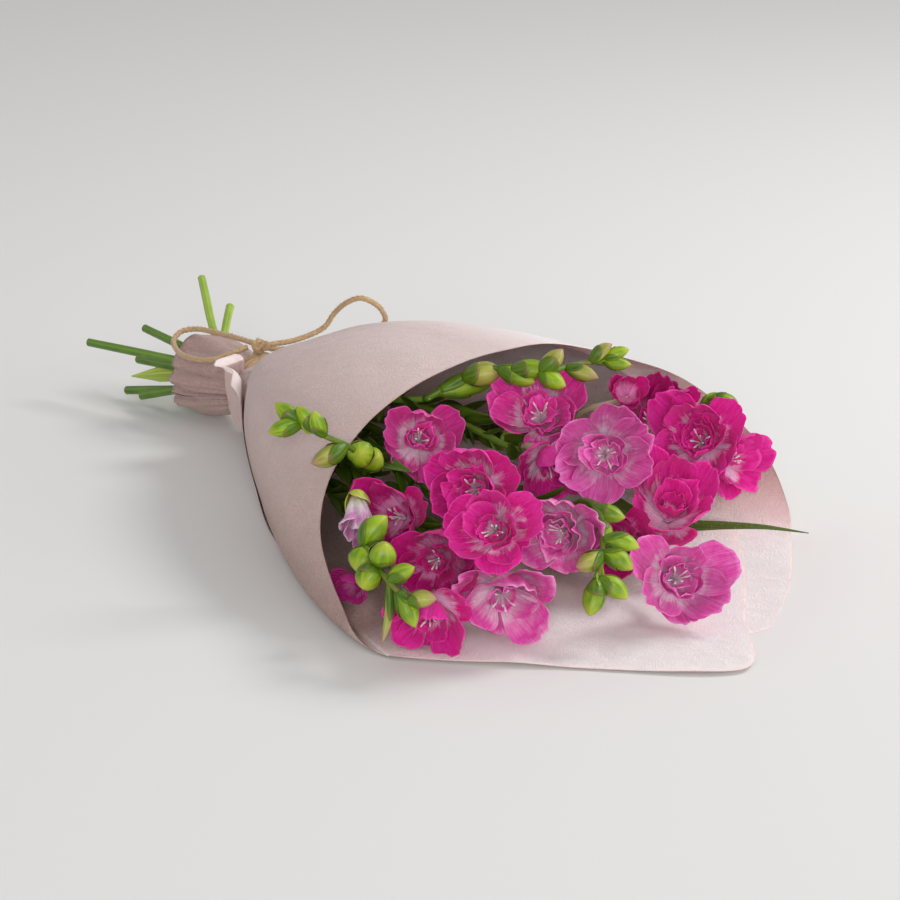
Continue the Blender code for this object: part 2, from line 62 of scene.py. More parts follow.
NECK_Z = 30.0
NECK_R = 17.6
NECK_FROM = -4.0
NECK_TO = 14.0
TWINE_D = 3.2
LAYER_PITCH = 2.6
TAIL_X = -52.0
TAIL_R = 27.0
TAIL_Z = 27.6
RIM = np.array([             # the flared edge, from the right foot round the lip and over the top
    (336, 107, 0), (384, 55, 0), (418, 6, 0), (449, -43, 0), (392, -104, 0), (325, -163, 0),
    (283, -159, 16), (252, -145, 46), (231, -113, 74), (221, -60, 95), (225, 10, 104),
    (236, 60, 93), (256, 104, 73), (285, 127, 42), (316, 124, 14),
], float)
INNER_EDGE = [(-0.56, 0.12), (-0.40, 0.45), (-0.14, 0.80), (0.0, 0.87), (0.12, 0.94), (0.22, 1.0)]
OUTER_EDGE = [(1.15, 1.0), (1.24, 0.86), (1.33, 0.73), (1.41, 0.60), (1.47, 0.38), (1.53, 0.14)]
FREE_FROM = 1.34             # past this turn the sheet's end isn't gathered in the tie
FREE_TO = 1.4375
TIP = np.array([9.0, -7.0, 31.0])            # how far the free corner springs away
ROLL_TURN = 1.7              # how far the free side edge rolls over, in radians
ROLL_ROWS = 13               # rows of the sheet's grid that roll over there
FREE_REACH = 0.42            # how far along the roll the free corner springs away
PUSH_OUT = 4.0               # most that it is pushed out where that would sink it in the layer below

STEM_D = 5.0
SPIKE_D = 3.6
SLOT = 5.8
ROW = SLOT * math.sin(math.radians(60))
TAIL_ROOM = 19.2

# Each stem: its cut end, its place in the neck, and the points of its flowering end.
STEMS = {
    "stem_01": ((-107, -18, 6), (-1.0, -0.5),
                [(110, -44, 26), (190, -88, 28), (236, -112, 32), (272, -133, 36)]),
    "stem_02": ((-64, -2, 4.5), (-0.5, -1.5),
                [(120, -40, 14), (215, -82, 15), (270, -106, 18), (296, -116, 20)]),
    "stem_03": ((-84, -23, 9), (-1.5, 0.5), [(100, -38, 38), (170, -68, 44), (212, -86, 50)]),
    "stem_04": ((-110, -7, 23), (-0.5, 0.5),
                [(120, -34, 34), (220, -70, 30), (285, -92, 30), (322, -93, 46)]),
    "stem_05": ((-123, -34, 36), (-1.0, 1.5),
                [(100, -28, 48), (170, -48, 48), (225, -64, 46), (268, -76, 48)]),
    "stem_06": ((-118, 4, 39), (0.5, 0.5), [(120, -10, 32), (220, -28, 35), (290, -30, 40), (312, -30, 46)]),
    "stem_07": ((-89, 48, 51), (1.0, 1.5), [(100, 8, 47), (170, 8, 50), (225, 0, 50), (268, -2, 50)]),
    "stem_08": ((-72, 9, 5), (0.0, -0.5), [(120, -2, 18), (220, -8, 16), (290, -8, 18), (336, -10, 20)]),
    "stem_09": ((-105, 26, 26), (1.5, 0.5), [(100, 28, 38), (180, 50, 42), (236, 64, 44), (268, 80, 46)]),
    "stem_10": ((-90, 22, 12), (1.0, -0.5), [(100, 34, 24), (170, 62, 26), (214, 82, 30), (252, 96, 30)]),
    "stem_11": ((-110, 42, 66), (0.0, 1.5), [(90, -12, 58), (150, -30, 70), (186, -48, 76), (213, -46, 82)]),
}

TO_VIEW = np.array([0.706, -0.625, 0.333]) / np.linalg.norm([0.706, -0.625, 0.333])
ALONG_RIGHT = np.array([0.643, 0.766, 0.0]) / np.linalg.norm([0.643, 0.766, 0.0])
ALONG_UP = np.cross(ALONG_RIGHT, -TO_VIEW)

# Each bloom: centre of its cup, how far it turns right and up, radius of its CAD cup, its stem,
# the share of the stem where it starts, its colouring, how wide it opens, and how full it is.
BLOOMS = {
    "bloom_01": ((228, -62, 66), (0.1, 0.15), 13.5, "stem_05", 0.81, "rose", 0.55, 12),
    "bloom_02": ((304, -89, 65), (-0.3, -0.1), 18, "stem_05", 1.0, "magenta", 0.95, 14),
    "bloom_03": ((350, -115, 62), (-0.15, 0.1), 16, "stem_04", 1.0, "magenta", 0.85, 12),
    "bloom_04": ((315, -122, 39), (-0.1, -0.15), 14.5, "stem_02", 0.94, "deep", 0.75, 10),
    "bloom_05": ((344, -105, 24), (0.15, -0.45), 16.5, "stem_04", 0.94, "pale", 0.9, 9),
    "bloom_06": ((339, -61, 46), (-0.35, -0.1), 16.5, "stem_06", 0.94, "pale", 0.85, 13),
    "bloom_07": ((250, 3, 72), (-0.1, 0.35), 17, "stem_07", 0.87, "rose", 0.85, 13),
    "bloom_08": ((312, -8, 68), (0.0, -0.05), 17, "stem_07", 1.0, "lilac", 0.95, 12),
    "bloom_09": ((279, -17, 58), (0.35, -0.5), 13, "stem_07", 0.94, "magenta", 0.6, 9),
    "bloom_10": ((301, 71, 56), (-0.3, 0.2), 18.5, "stem_09", 0.92, "magenta", 0.8, 16),
    "bloom_11": ((290, 103, 36), (0.9, 0.1), 12, "stem_10", 1.0, "magenta", 0.7, 9),
    "bloom_12": ((329, 23, 36), (0.1, 0.6), 18, "stem_08", 0.94, "magenta", 0.5, 12),
    "bloom_13": ((383, -25, 25), (0.2, 0.1), 16.5, "stem_08", 1.0, "lilac", 0.85, 12),
    "bloom_14": ((332, -18, 30), (-0.3, 0.1), 11, "stem_08", 0.94, "deep", 0.7, 9),
    "bloom_15": ((264, -134, 14), (-0.4, -0.3), 8.5, "stem_01", 0.94, "wine", 0.4, 7),
    "bloom_16": ((331, -140, 20), (-0.1, -0.6), 12.5, "stem_02", 1.0, "magenta", 0.8, 9),
    "bloom_17": ((265, -105, 44), (-0.5, 0.1), 11, "stem_01", 0.87, "deep", 0.7, 8),
    "bloom_18": ((238, 94, 46), (0.1, 0.4), 13, "stem_10", 0.94, "deep", 0.8, 9),
    "bloom_19": ((264, -131, 53), (0.2, -1.2), 8.5, "stem_01", 0.94, "blush", 0.12, 6),
    "bloom_20": ((268, 48, 79), (0.0, 0.3), 8.5, "stem_09", 0.86, "deep", 0.35, 6),
    "bloom_21": ((286, 70, 76), (0.3, 0.1), 6.0, "stem_09", 0.97, "deep", 0.4, 6),
}

# Each spray goes on from the end of a stem: the points of its stalk, then its buds as the
# share of the stalk where each sits, the way it points (right, up, outwards), length, radius.
SPRAYS = {
    "bud_spray_top": ("stem_11", [(222, -34, 90), (228, -22, 97), (240, -20, 100), (252, -16, 100),
                                  (264, -6, 101), (267, 12, 102), (271, 28, 102)], [
        (0.13, (1, 0.25, -0.25), 30, 5.6), (0.30, (1, 0.15, 0.3), 19, 5.6), (0.46, (1, -0.4, 0.4), 19, 4.6),
        (0.55, (1, 0.1, 0.2), 17, 4.8), (0.68, (0.7, 0.7, 0), 15, 4.2), (0.66, (0.9, -0.5, 0.3), 14, 4.2),
        (0.82, (1, -0.35, 0.2), 16, 3.6), (0.92, (0.7, 0.6, 0), 13, 3.0), (0.99, (1, 0.45, 0), 13, 3.0),
        (0.97, (1, -0.15, 0.2), 13, 3.0)]),
    "bud_spray_left": ("stem_03", [(224, -96, 60), (234, -107, 69), (240, -117, 77), (240, -127, 83),
                                   (233, -134, 87), (227, -138, 90)], [
        (0.30, (0.7, 0.2, 0.8), 12, 5.4), (0.48, (0.1, 0.1, 1), 12, 5.8), (0.72, (-0.9, -0.5, 0.3), 18, 4.5),
        (0.82, (-0.3, 0.8, 0.4), 13, 3.6), (0.90, (-0.5, 0.8, 0.1), 13, 3.4), (0.99, (-0.7, 0.6, 0), 15, 4.0),
        (0.99, (-1, -0.25, 0.2), 15, 4.0)]),
    "bud_spray_low": ("stem_01", [(284, -144, 43), (296, -153, 47), (310, -160, 48), (326, -166, 46),
                                  (338, -168, 42), (346, -166, 37)], [
        (0.40, (0.7, 0.9, 0.1), 17, 5.4), (0.48, (-0.3, -0.7, 0.8), 13, 5.8),
        (0.66, (0.3, 0.7, 0.6), 13, 5.6),
        (0.72, (-0.5, -0.8, 0.6), 13, 5.4), (0.84, (0.9, 0.5, 0.3), 13, 3.8), (0.99, (1, 0.1, 0.4), 13, 3.6),
        (0.96, (0.5, -1, 0.1), 17, 4.2), (0.88, (-0.1, -1, 0.1), 26, 1.8), (0.25, (0.3, -1, 0.5), 18, 2.4)]),
    "bud_spray_middle": ("stem_06", [(326, -35, 53), (343, -44, 57), (357, -52, 55), (368, -61, 50),
                                     (376, -69, 42), (380, -75, 36)], [
        (0.30, (0.4, -0.7, 0.5), 14, 3.4), (0.46, (0.8, -0.3, 0.4), 15, 3.8), (0.58, (0.1, -1, 0.5), 12, 3.4),
        (0.74, (1, -0.2, 0.1), 16, 4.0), (0.82, (0.9, -0.5, 0.3), 15, 4.2),
        (0.86, (-0.8, -0.4, 0.5), 15, 4.2),
        (0.99, (-0.2, -0.8, 0.3), 17, 4.8), (0.99, (0.9, -0.6, 0.1), 15, 4.4)]),
    "bud_spray_right": ("stem_09", [(275, 86, 57), (281, 89, 66), (286, 91, 71)], [
        (0.80, (0.8, 0.3, 0), 12, 3.6), (0.99, (1, -0.2, 0.2), 15, 4.0)]),
}

# Each leaf: the stem it springs from and where on it, the points it passes, half width.
LEAVES = {
    "leaf_blade": ("stem_10", 0.66, [(204, 62, 24), (250, 52, 15), (296, 46, 14), (332, 50, 22),
                                     (358, 57, 27), (384, 68, 28)], 3.6),
    "leaf_bract": ("stem_03", 0.95, [(216, -76, 56), (232, -86, 60), (252, -86, 60)], 4.0),
    "leaf_sheath": ("stem_04", 0.12, [(-72, 3, 20.5), (-90, -4, 17.5), (-108, -14, 14)], 4.6),
}

# Radii of CAD cups, and how many times the petal overhang a bloom of each radius gets.
OVERHANG = (6, 9, 11, 13, 15, 18), (0.3, 0.2, 2.1, 1.6, 1.5, 1.2)
PETAL_FLOOR = 1.6            # petals go no lower than this, so that they stay off the surface
BINDING_TURNS = 3
KNOT = (6.0, 0.0, NECK_Z + NECK_R + TWINE_D + 2.2 * GAP + 4.4)
LOOP_LEFT = [
    (0, -4.6, 55), (-2, -14, 52.5), (-8, -24, 49), (-27, -28, 47), (-44, -24, 47), (-54, -19, 50),
    (-56, -12, 53.5), (-49, -6, 55.5), (-34, -4, 56.5), (-16, -2.0, 57), (-1, 0, 56.5),
]
LOOP_RIGHT = [
    (7, 5.4, 56), (12, 22, 57), (15, 41, 62), (18, 46, 70), (27, 48, 78), (35, 52, 82), (39, 57, 80),
    (40, 64, 74), (37, 69, 65), (28, 62, 57), (16, 38, 52), (4, 14, 51), (1.5, 5.6, 53.5),
]


# ---------------------------------------------------------------- curves and meshes

def to_world(points):
    """Millimetres from the tie to metres in the frame."""
    return (np.asarray(points, float) - MIDDLE) * MM


def unit(v):
    """A vector or a grid of vectors, each divided by its length."""
    v = np.asarray(v, float)
    return v / np.linalg.norm(v, axis=-1, keepdims=True)


def smooth(points, count):
    """`count` points, evenly spaced, on a centripetal Catmull-Rom curve through `points`."""
    p = np.asarray(points, float)
    p = np.vstack([2 * p[0] - p[1], p, 2 * p[-1] - p[-2]])
    knots = np.concatenate([[0], np.cumsum(np.linalg.norm(np.diff(p, axis=0), axis=1) ** 0.5)])
    out = []
    for i in range(1, len(p) - 2):
        k = knots[i - 1:i + 3]
        t = np.linspace(k[1], k[2], 16, endpoint=False)[:, None]
        a = [((k[j + 1] - t) * p[i - 1 + j] + (t - k[j]) * p[i + j]) / (k[j + 1] - k[j]) for j in range(3)]
        b = [((k[j + 2] - t) * a[j] + (t - k[j]) * a[j + 1]) / (k[j + 2] - k[j]) for j in range(2)]
        out.append(((k[2] - t) * b[0] + (t - k[1]) * b[1]) / (k[2] - k[1]))
    out = np.vstack([*out, p[-2]])
    along = np.concatenate([[0], np.cumsum(np.linalg.norm(np.diff(out, axis=0), axis=1))])
    want = np.linspace(0, along[-1], count)
    return np.column_stack([np.interp(want, along, out[:, j]) for j in range(3)])


def frames(path):
    """Tangent and two side vectors at each point of a path, carried along without twist."""
    tangents = unit(np.gradient(path, axis=0))
    side = unit(np.cross(tangents[0], (0.3, 0.2, 1.0)))
    sides = []
    for t in tangents:
        side = unit(side - t * (side @ t))
        sides.append(side)
    sides = np.array(sides)
    return tangents, sides, np.cross(tangents, sides)


def rings(path, radii, sides, flat=1.0, lobes=0, depth=0.0, twist=0.0):
    """A tube's grid: at each point of the path a circle of `sides` points about it.

    The circle's radius is multiplied by 1 + depth * cos(lobes * angle + twist), where twist may
    grow along the path, and its second axis by `flat`.
    """
    path = np.asarray(path, float)
    _, across, up = frames(path)
    angle = np.arange(sides) * 2 * math.pi / sides
    twist = np.broadcast_to(twist, len(path))[:, None]
    radius = np.broadcast_to(radii, len(path))[:, None] * (1 + depth * np.cos(lobes * angle[None] + twist))
    return (path[:, None] + (radius * np.cos(angle))[:, :, None] * across[:, None]
            + (flat * radius * np.sin(angle))[:, :, None] * up[:, None])


class Surface:
    """Grids of points gathered into one mesh, with a UV map, a shade value and material slots."""

    def __init__(self):
        self.points, self.faces, self.uvs, self.shades, self.slots = [], [], [], [], []
        self.count = 0

    def add(self, grid, slot=0, shade=0.5, round_grid=False, caps=False, uv=None):
        """A grid of points (along, across). A round grid closes across; caps close its two ends."""
        n, m = grid.shape[:2]
        i, j = np.meshgrid(np.arange(n - 1), np.arange(m if round_grid else m - 1), indexing="ij")
        i, j = i.ravel(), j.ravel()
        k = (j + 1) % m
        quads = np.column_stack([i * m + j, i * m + k, (i + 1) * m + k, (i + 1) * m + j])
        if uv is None:
            wide = m if round_grid else m - 1
            left, right = j / wide, (j + 1) / wide
            low, high = i / (n - 1), (i + 1) / (n - 1)
            corners = np.stack([left, low, right, low, right, high, left, high], axis=1)
        else:
            flat_uv = uv.reshape(-1, 2)
            corners = flat_uv[quads].reshape(len(quads), 8)
        points = grid.reshape(-1, 3)
        faces, uvs = (quads + self.count).tolist(), [corners.reshape(-1, 2)]
        if caps:
            j = np.arange(m)
            k = (j + 1) % m
            first, last = np.full(m, n * m), np.full(m, n * m + 1)
            points = np.vstack([points, grid[0].mean(axis=0), grid[-1].mean(axis=0)])
            ends = np.vstack([np.column_stack([first, k, j]),
                              np.column_stack([last, (n - 1) * m + j, (n - 1) * m + k])])
            faces += (ends + self.count).tolist()
            middle, rim = np.array([0.5, 0.0]), np.stack([j / m, 0 * j], axis=1)
            start = np.stack([np.broadcast_to(middle, (m, 2)), rim, rim], axis=1).reshape(-1, 2)
            uvs += [start, start + (0.0, 1.0)]
        self.points.append(points)
        self.faces += faces
        self.uvs += uvs
        self.shades.append(np.broadcast_to(np.ravel(shade), (n * m,)))
        if caps:
            self.shades.append(np.full(2, float(np.mean(shade))))
        self.slots += [slot] * len(faces)
        self.count += len(points)

    def build(self, name, materials, thickness=0.0, replaced=()):
        """The finished piece, riding on the bunch in place of its CAD nodes."""
        mesh = bpy.data.meshes.new(name)
        mesh.from_pydata(to_world(np.vstack(self.points)).tolist(), [], self.faces)
        layer = mesh.uv_layers.new(name="UVMap")
        layer.data.foreach_set("uv", np.vstack(self.uvs).astype(np.float32).ravel())
        shades = mesh.attributes.new("shade", "FLOAT", "POINT")
        shades.data.foreach_set("value", np.concatenate(self.shades).astype(np.float32))
        for material in materials:
            mesh.materials.append(material)
        mesh.polygons.foreach_set("material_index", np.array(self.slots, np.int32))
        mesh.shade_smooth()
        piece = bpy.data.objects.new(name, mesh)
        bpy.context.scene.collection.objects.link(piece)
        if thickness:
            solid = piece.modifiers.new("thickness", "SOLIDIFY")
            solid.thickness = thickness * MM
            solid.offset = 0.0
            solid.use_even_offset = False
        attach(piece, "root")
        if replaced:
            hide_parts(*replaced)
        return piece


# ---------------------------------------------------------------- node materials

def node(tree, kind, inputs=None, **settings):
    """A shader node with its settings and inputs, where an input may be another node's socket."""
    made = tree.nodes.new(kind)
    for key, value in settings.items():
        setattr(made, key, value)
    for key, value in (inputs or {}).items():
        if isinstance(value, bpy.types.NodeSocket):
            tree.links.new(value, made.inputs[key])
        else:
            made.inputs[key].default_value = value
    return made


def surface_material(name, roughness, specular=0.5, sheen=0.0, subsurface=0.0):
    material = bpy.data.materials.new(name)
    material.use_nodes = True
    tree = material.node_tree
    shader = tree.nodes["Principled BSDF"]
    shader.inputs["Roughness"].default_value = roughness
    shader.inputs["Specular IOR Level"].default_value = specular
    shader.inputs["Sheen Weight"].default_value = sheen
    shader.inputs["Subsurface Weight"].default_value = subsurface
    shader.inputs["Subsurface Scale"].default_value = 0.003
    shader.inputs["Subsurface Radius"].default_value = (1.0, 0.4, 0.6)
    return material, tree, shader


def noise(tree, coordinates, scale, detail=2.0, roughness=0.5, distortion=0.0):
    made = node(tree, "ShaderNodeTexNoise", {"Vector": coordinates, "Scale": scale, "Detail": detail,
                                             "Roughness": roughness, "Distortion": distortion})
    return made.outputs["Fac"]


def stretched(tree, coordinates, scale):
    """Coordinates multiplied by a scale along each axis."""
    return node(tree, "ShaderNodeMapping", {"Vector": coordinates, "Scale": scale}).outputs["Vector"]


def ramp(tree, factor, stops):
    """A colour ramp from (place, value or colour) stops."""
    made = node(tree, "ShaderNodeValToRGB", {"Fac": factor})
    elements = made.color_ramp.elements
    while len(elements) < len(stops):
        elements.new(0.5)
    for element, (place, colour) in zip(elements, stops):
        element.position = place
        element.color = (*colour, 1.0) if np.ndim(colour) else (colour, colour, colour, 1.0)
    return made.outputs["Color"]


def mix(tree, factor, first, second, blend="MIX"):
    made = node(tree, "ShaderNodeMix", data_type="RGBA", blend_type=blend)
    for index, value in ((0, factor), (6, first), (7, second)):
        if isinstance(value, bpy.types.NodeSocket):
            tree.links.new(value, made.inputs[index])
        elif index == 0:
            made.inputs[index].default_value = value
        else:
            made.inputs[index].default_value = (*value, 1.0) if np.ndim(value) else (value, value, value, 1.0)
    return made.outputs[2]


def bump(tree, shader, height, strength, distance):
    """Sets a bump from a height on a shader; the distance is in millimetres."""
    made = node(tree, "ShaderNodeBump", {"Height": height, "Strength": strength, "Distance": distance * MM})
    tree.links.new(made.outputs["Normal"], shader.inputs["Normal"])


def petal_material(name, throat, near, far, vein, veining):
    """A petal: pale at the throat, its colour deepening outwards, with fine fanned veins."""
    material, tree, shader = surface_material(name, 0.46, 0.3, 0.05, 0.25)
    uv = node(tree, "ShaderNodeUVMap", uv_map="UVMap").outputs["UV"]
    place = node(tree, "ShaderNodeTexCoord").outputs["Object"]
    along = node(tree, "ShaderNodeSeparateXYZ", {"Vector": uv}).outputs["Y"]
    cloud = noise(tree, place, 150, 3)
    streaks = noise(tree, stretched(tree, uv, (30, 0.9, 1)), 1.0, 4, 0.6, 0.4)
    uneven = node(tree, "ShaderNodeMath", {0: streaks, 1: cloud}, operation="ADD").outputs[0]
    uneven = node(tree, "ShaderNodeMath", {0: uneven, 1: 1.0}, operation="SUBTRACT").outputs[0]
    shift = node(tree, "ShaderNodeMath", {0: uneven, 1: 0.55, 2: along}, operation="MULTIPLY_ADD").outputs[0]
    body = ramp(tree, shift, [(0.0, throat), (0.28, throat), (0.48, near), (0.8, far), (1.0, near)])
    veins = noise(tree, stretched(tree, uv, (58, 1.3, 1)), 1.0, 3, 0.6, 0.4)
    veins = ramp(tree, veins, [(0.48, 0.0), (0.62, 1.0)])
    fine = noise(tree, place, 520, 4)
    amount = node(tree, "ShaderNodeMath", {0: veins, 1: veining}, operation="MULTIPLY").outputs[0]
    colour = mix(tree, amount, body, vein)
    colour = mix(tree, 0.35, colour, ramp(tree, fine, [(0.3, 0.55), (0.65, 1.0)]), "MULTIPLY")
    # The shade attribute sets each petal's value: it differs at random, and on the inner petals it holds
    # painted light.
    shade = node(tree, "ShaderNodeAttribute", attribute_name="shade").outputs["Fac"]
    value = node(tree, "ShaderNodeMapRange",
                 {"Value": shade, "To Min": 0.5, "To Max": 1.25}).outputs["Result"]
    colour = node(tree, "ShaderNodeHueSaturation", {"Color": colour, "Value": value}).outputs["Color"]
    tree.links.new(colour, shader.inputs["Base Color"])
    height = node(tree, "ShaderNodeMath", {0: veins, 1: 0.12, 2: noise(tree, place, 330, 4)},
                  operation="MULTIPLY_ADD").outputs[0]
    bump(tree, shader, height, 0.45, 0.6)
    return material


def green_material(name, dark, light, tip, ribs, roughness=0.38):
    """A stem, bud or leaf: ribbed along its length, mottled, turning to its tip's colour."""
    material, tree, shader = surface_material(name, roughness, 0.35, 0.0, 0.1)
    uv = node(tree, "ShaderNodeUVMap", uv_map="UVMap").outputs["UV"]
    place = node(tree, "ShaderNodeTexCoord").outputs["Object"]
    along = node(tree, "ShaderNodeSeparateXYZ", {"Vector": uv}).outputs["Y"]
    lines = noise(tree, stretched(tree, uv, (ribs, 0.8, 1)), 1.0, 2, 0.5, 0.2)
    body = mix(tree, ramp(tree, lines, [(0.35, 0.0), (0.7, 1.0)]), dark, light)
    mottle = noise(tree, place, 90, 4)
    body = mix(tree, ramp(tree, mottle, [(0.35, 0.0), (0.75, 0.7)]), body, light)
    body = mix(tree, ramp(tree, along, [(0.72, 0.0), (1.0, 0.85)]), body, tip)
    shade = node(tree, "ShaderNodeAttribute", attribute_name="shade").outputs["Fac"]
    value = node(tree, "ShaderNodeMapRange", {"Value": shade, "To Min": 0.6, "To Max": 1.4}).outputs["Result"]
    colour = node(tree, "ShaderNodeHueSaturation", {"Color": body, "Value": value}).outputs["Color"]
    tree.links.new(colour, shader.inputs["Base Color"])
    bump(tree, shader, lines, 0.35, 0.25)
    return material


# ---------------------------------------------------------------- the wrapping sheet

# Values of the cloth's shade attribute, all painted light and shade: see cloth_shade.
EVEN_SHADE = 0.35            # the cloth's shade where nothing below changes it
INSIDE_DARKER = 0.35
LIP_LIGHTER = 0.6
MOUTH_LIGHTER = 0.12
WALL_LIGHTER = 0.6
TOP_LIGHTER = 0.2
TAIL_SHADE = 0.12
FREE_ROWS = 10               # rows of the grid at the free side edge, where the underside shows; painted lighter there
FREE_SHADE = 0.9
CUT_SHADE = 0.5              # the sheet's cut edges, along the side and along the rim, painted darker than the cloth beside them
RIM_DARKER = 0.5


def rim_points(turns):
    """The rim as a closed smooth curve, one turn long, starting at the right foot."""
    chords = np.linalg.norm(np.roll(RIM, -1, axis=0) - RIM, axis=1)
    starts = np.concatenate([[0], np.cumsum(chords)]) / chords.sum()
    t = turns % 1.0
    i = np.clip(np.searchsorted(starts, t, side="right") - 1, 0, len(RIM) - 1)
    s = ((t - starts[i]) / (starts[i + 1] - starts[i]))[:, None]
    a, b, c, d = (RIM[(i + j) % len(RIM)] for j in (-1, 0, 1, 2))
    point = 0.5 * (2 * b + (c - a) * s + (2 * a - 5 * b + 4 * c - d) * s ** 2
                   + (3 * b - a - 3 * c + d) * s ** 3)
    on_floor = (b[:, 2] == 0) & (c[:, 2] == 0)
    point[:, 2] = np.where(on_floor, 0.0, np.maximum(point[:, 2], 0.0))
    return point


def sheet_points(turns, v, inset):
    """Points of the roll: v is 0 at the neck, 1 at the rim and below 0 behind the tie.

    From the neck's circle the sheet flares to the rim: X grows evenly with v, the sides
    spread at first faster than X, the top faster still, and the bottom soon lies flat.
    inset is how far a point lies inside the roll's outermost surface.
    """
    rim = rim_points(turns)
    angle = np.arctan2(rim[:, 2] - 45.0, rim[:, 1])
    out = np.column_stack([0 * angle, np.cos(angle), np.sin(angle)])
    neck = np.array([NECK_TO, 0.0, NECK_Z]) + out * NECK_R
    x = NECK_TO + v * (NECK_TO - TAIL_X)
    s = np.sin(0.5 * math.pi * np.clip((NECK_FROM - x) / (NECK_FROM - TAIL_X), 0, 1))
    radius = NECK_R + (TAIL_R - NECK_R) * s - inset
    behind = np.stack([x, radius * out[:, 1:2], NECK_Z + (TAIL_Z - NECK_Z) * s + radius * out[:, 2:]], axis=2)
    high = np.clip((out[:, 2:] + 0.35) / 1.35, 0, 1)
    w = np.clip(v, 0, 1)
    x = neck[:, :1] + (rim[:, :1] - neck[:, :1]) * w
    y = neck[:, 1:2] + (rim[:, 1:2] - neck[:, 1:2]) * (1 - (1 - w) ** (1.3 + 0.6 * high))
    settle = high * (1 - w) ** 2.5 + (1 - high) * np.maximum(0, 1 - w / 0.35) ** 2
    z = rim[:, 2:] + (neck[:, 2:] - rim[:, 2:]) * settle
    blend = np.where(rim[:, 2:] > 0, 0.0, np.minimum(w / 0.3, 1.0))
    inward = unit(-out[:, None] * (1 - blend[:, :, None]) + np.array([0.0, 0.0, 1.0]) * blend[:, :, None])
    ahead = np.stack([x, y, z], axis=2) + inward * inset[:, :, None]
    return np.where((v < 0)[:, :, None], behind, ahead)


def gathers(turns, v, depth, rng):
    """Pleats: ridged waves round the roll, deepest at the tie, fading towards the rim.

    Towards the low edge the fine pleats open out and the broad ones grow.
    """
    angle = 2 * math.pi * turns[:, None]
    total = 0 * v
    tail = np.clip((-v - 0.25) / 0.4, 0, 1)
    for count, share in ((7, 1.0), (11, 0.8), (23, 1.25), (37, 0.45)):
        phase = rng.uniform(0, 2 * math.pi)
        drift = rng.uniform(-3, 3)
        wave = 1 - np.abs(np.sin(0.5 * count * angle + phase + drift * v))
        total = total + share * wave * (1 + (0.5 if count < 15 else -0.65) * tail)
    near = np.where(v < 0, 1.0 + 1.6 * np.clip(-v - 0.25, 0, 1), np.exp(-v / 0.13))
    tie = 1 - 0.8 * np.exp(-((v + 0.12) / 0.14) ** 2)
    return depth * total * near * tie


def soft_folds(turns, v, depth, rng):
    """Broad shallow folds along the roll, and small crumples: sums of waves of random slant."""
    angle = 2 * math.pi * turns[:, None]
    total = 0 * v
    for count, share, slant in ((3, 1.0, 4), (5, 0.8, 5), (8, 0.5, 8), (13, 0.28, 12), (21, 0.14, 20)):
        phase = rng.uniform(0, 2 * math.pi)
        total = total + share * np.cos(count * angle + phase + rng.uniform(-slant, slant) * v)
    return depth * total * np.clip(v / 0.25, 0, 1)


def bulge(grid, v, reach):
    """Lifts the cloth just past the tie, on its lower open side, out and back over the turns of twine.

    The lift is a bell curve along the roll, times a raised cosine of the angle round the neck.
    """
    angle = np.arctan2(grid[:, :, 2] - NECK_Z, -grid[:, :, 1])
    side = np.cos(np.clip((angle - 0.1) / 1.25, -1, 1) * 0.5 * math.pi) ** 2
    amount = (reach * side * np.exp(-((v - 0.045) / 0.03) ** 2) * np.clip(v / 0.012, 0, 1))[:, :, None]
    out = grid * (0.0, 1.0, 1.0) - (0.0, 0.0, NECK_Z)
    return grid + amount * (unit(out) - (0.85, 0.0, 0.0))


def roll_edge(grid, columns, centre=(0.0, 0.0, 40.0)):
    """The last columns roll outwards: the distance from where the roll starts becomes an arc."""
    base = grid[-columns - 1]
    along = unit(np.gradient(base, axis=0))
    across = base - grid[-columns - 3]
    across = unit(across - (across * along).sum(axis=1)[:, None] * along)
    normal = np.cross(along, across)
    sign = np.sign((normal * (base - centre) * (0.0, 1.0, 1.0)).sum(axis=1))[:, None]
    offset = grid[-columns:] - base[None]
    forward = (offset * along[None]).sum(axis=2)[:, :, None] * along[None]
    distance = np.linalg.norm(offset - forward, axis=2)
    radius = np.maximum(distance[-1] / ROLL_TURN, 0.4)[None]
    turned = distance / radius
    rolled = (base[None] + forward + (radius * np.sin(turned))[:, :, None] * across[None]
              + (radius * (1 - np.cos(turned)))[:, :, None] * (sign * normal)[None])
    return np.concatenate([grid[:-columns], rolled])


def outward(grid, centre=(0.0, 0.0, 40.0)):
    """Unit normals of a grid: the cross product of its two tangents, pointing away from the middle."""
    normals = np.cross(np.gradient(grid, axis=0), np.gradient(grid, axis=1))
    normals = normals / np.maximum(np.linalg.norm(normals, axis=2), 1e-9)[:, :, None]
    around = (normals * (grid - np.array(centre)) * (0.0, 1.0, 1.0)).sum(axis=2)
    return normals * np.sign(np.median(around))


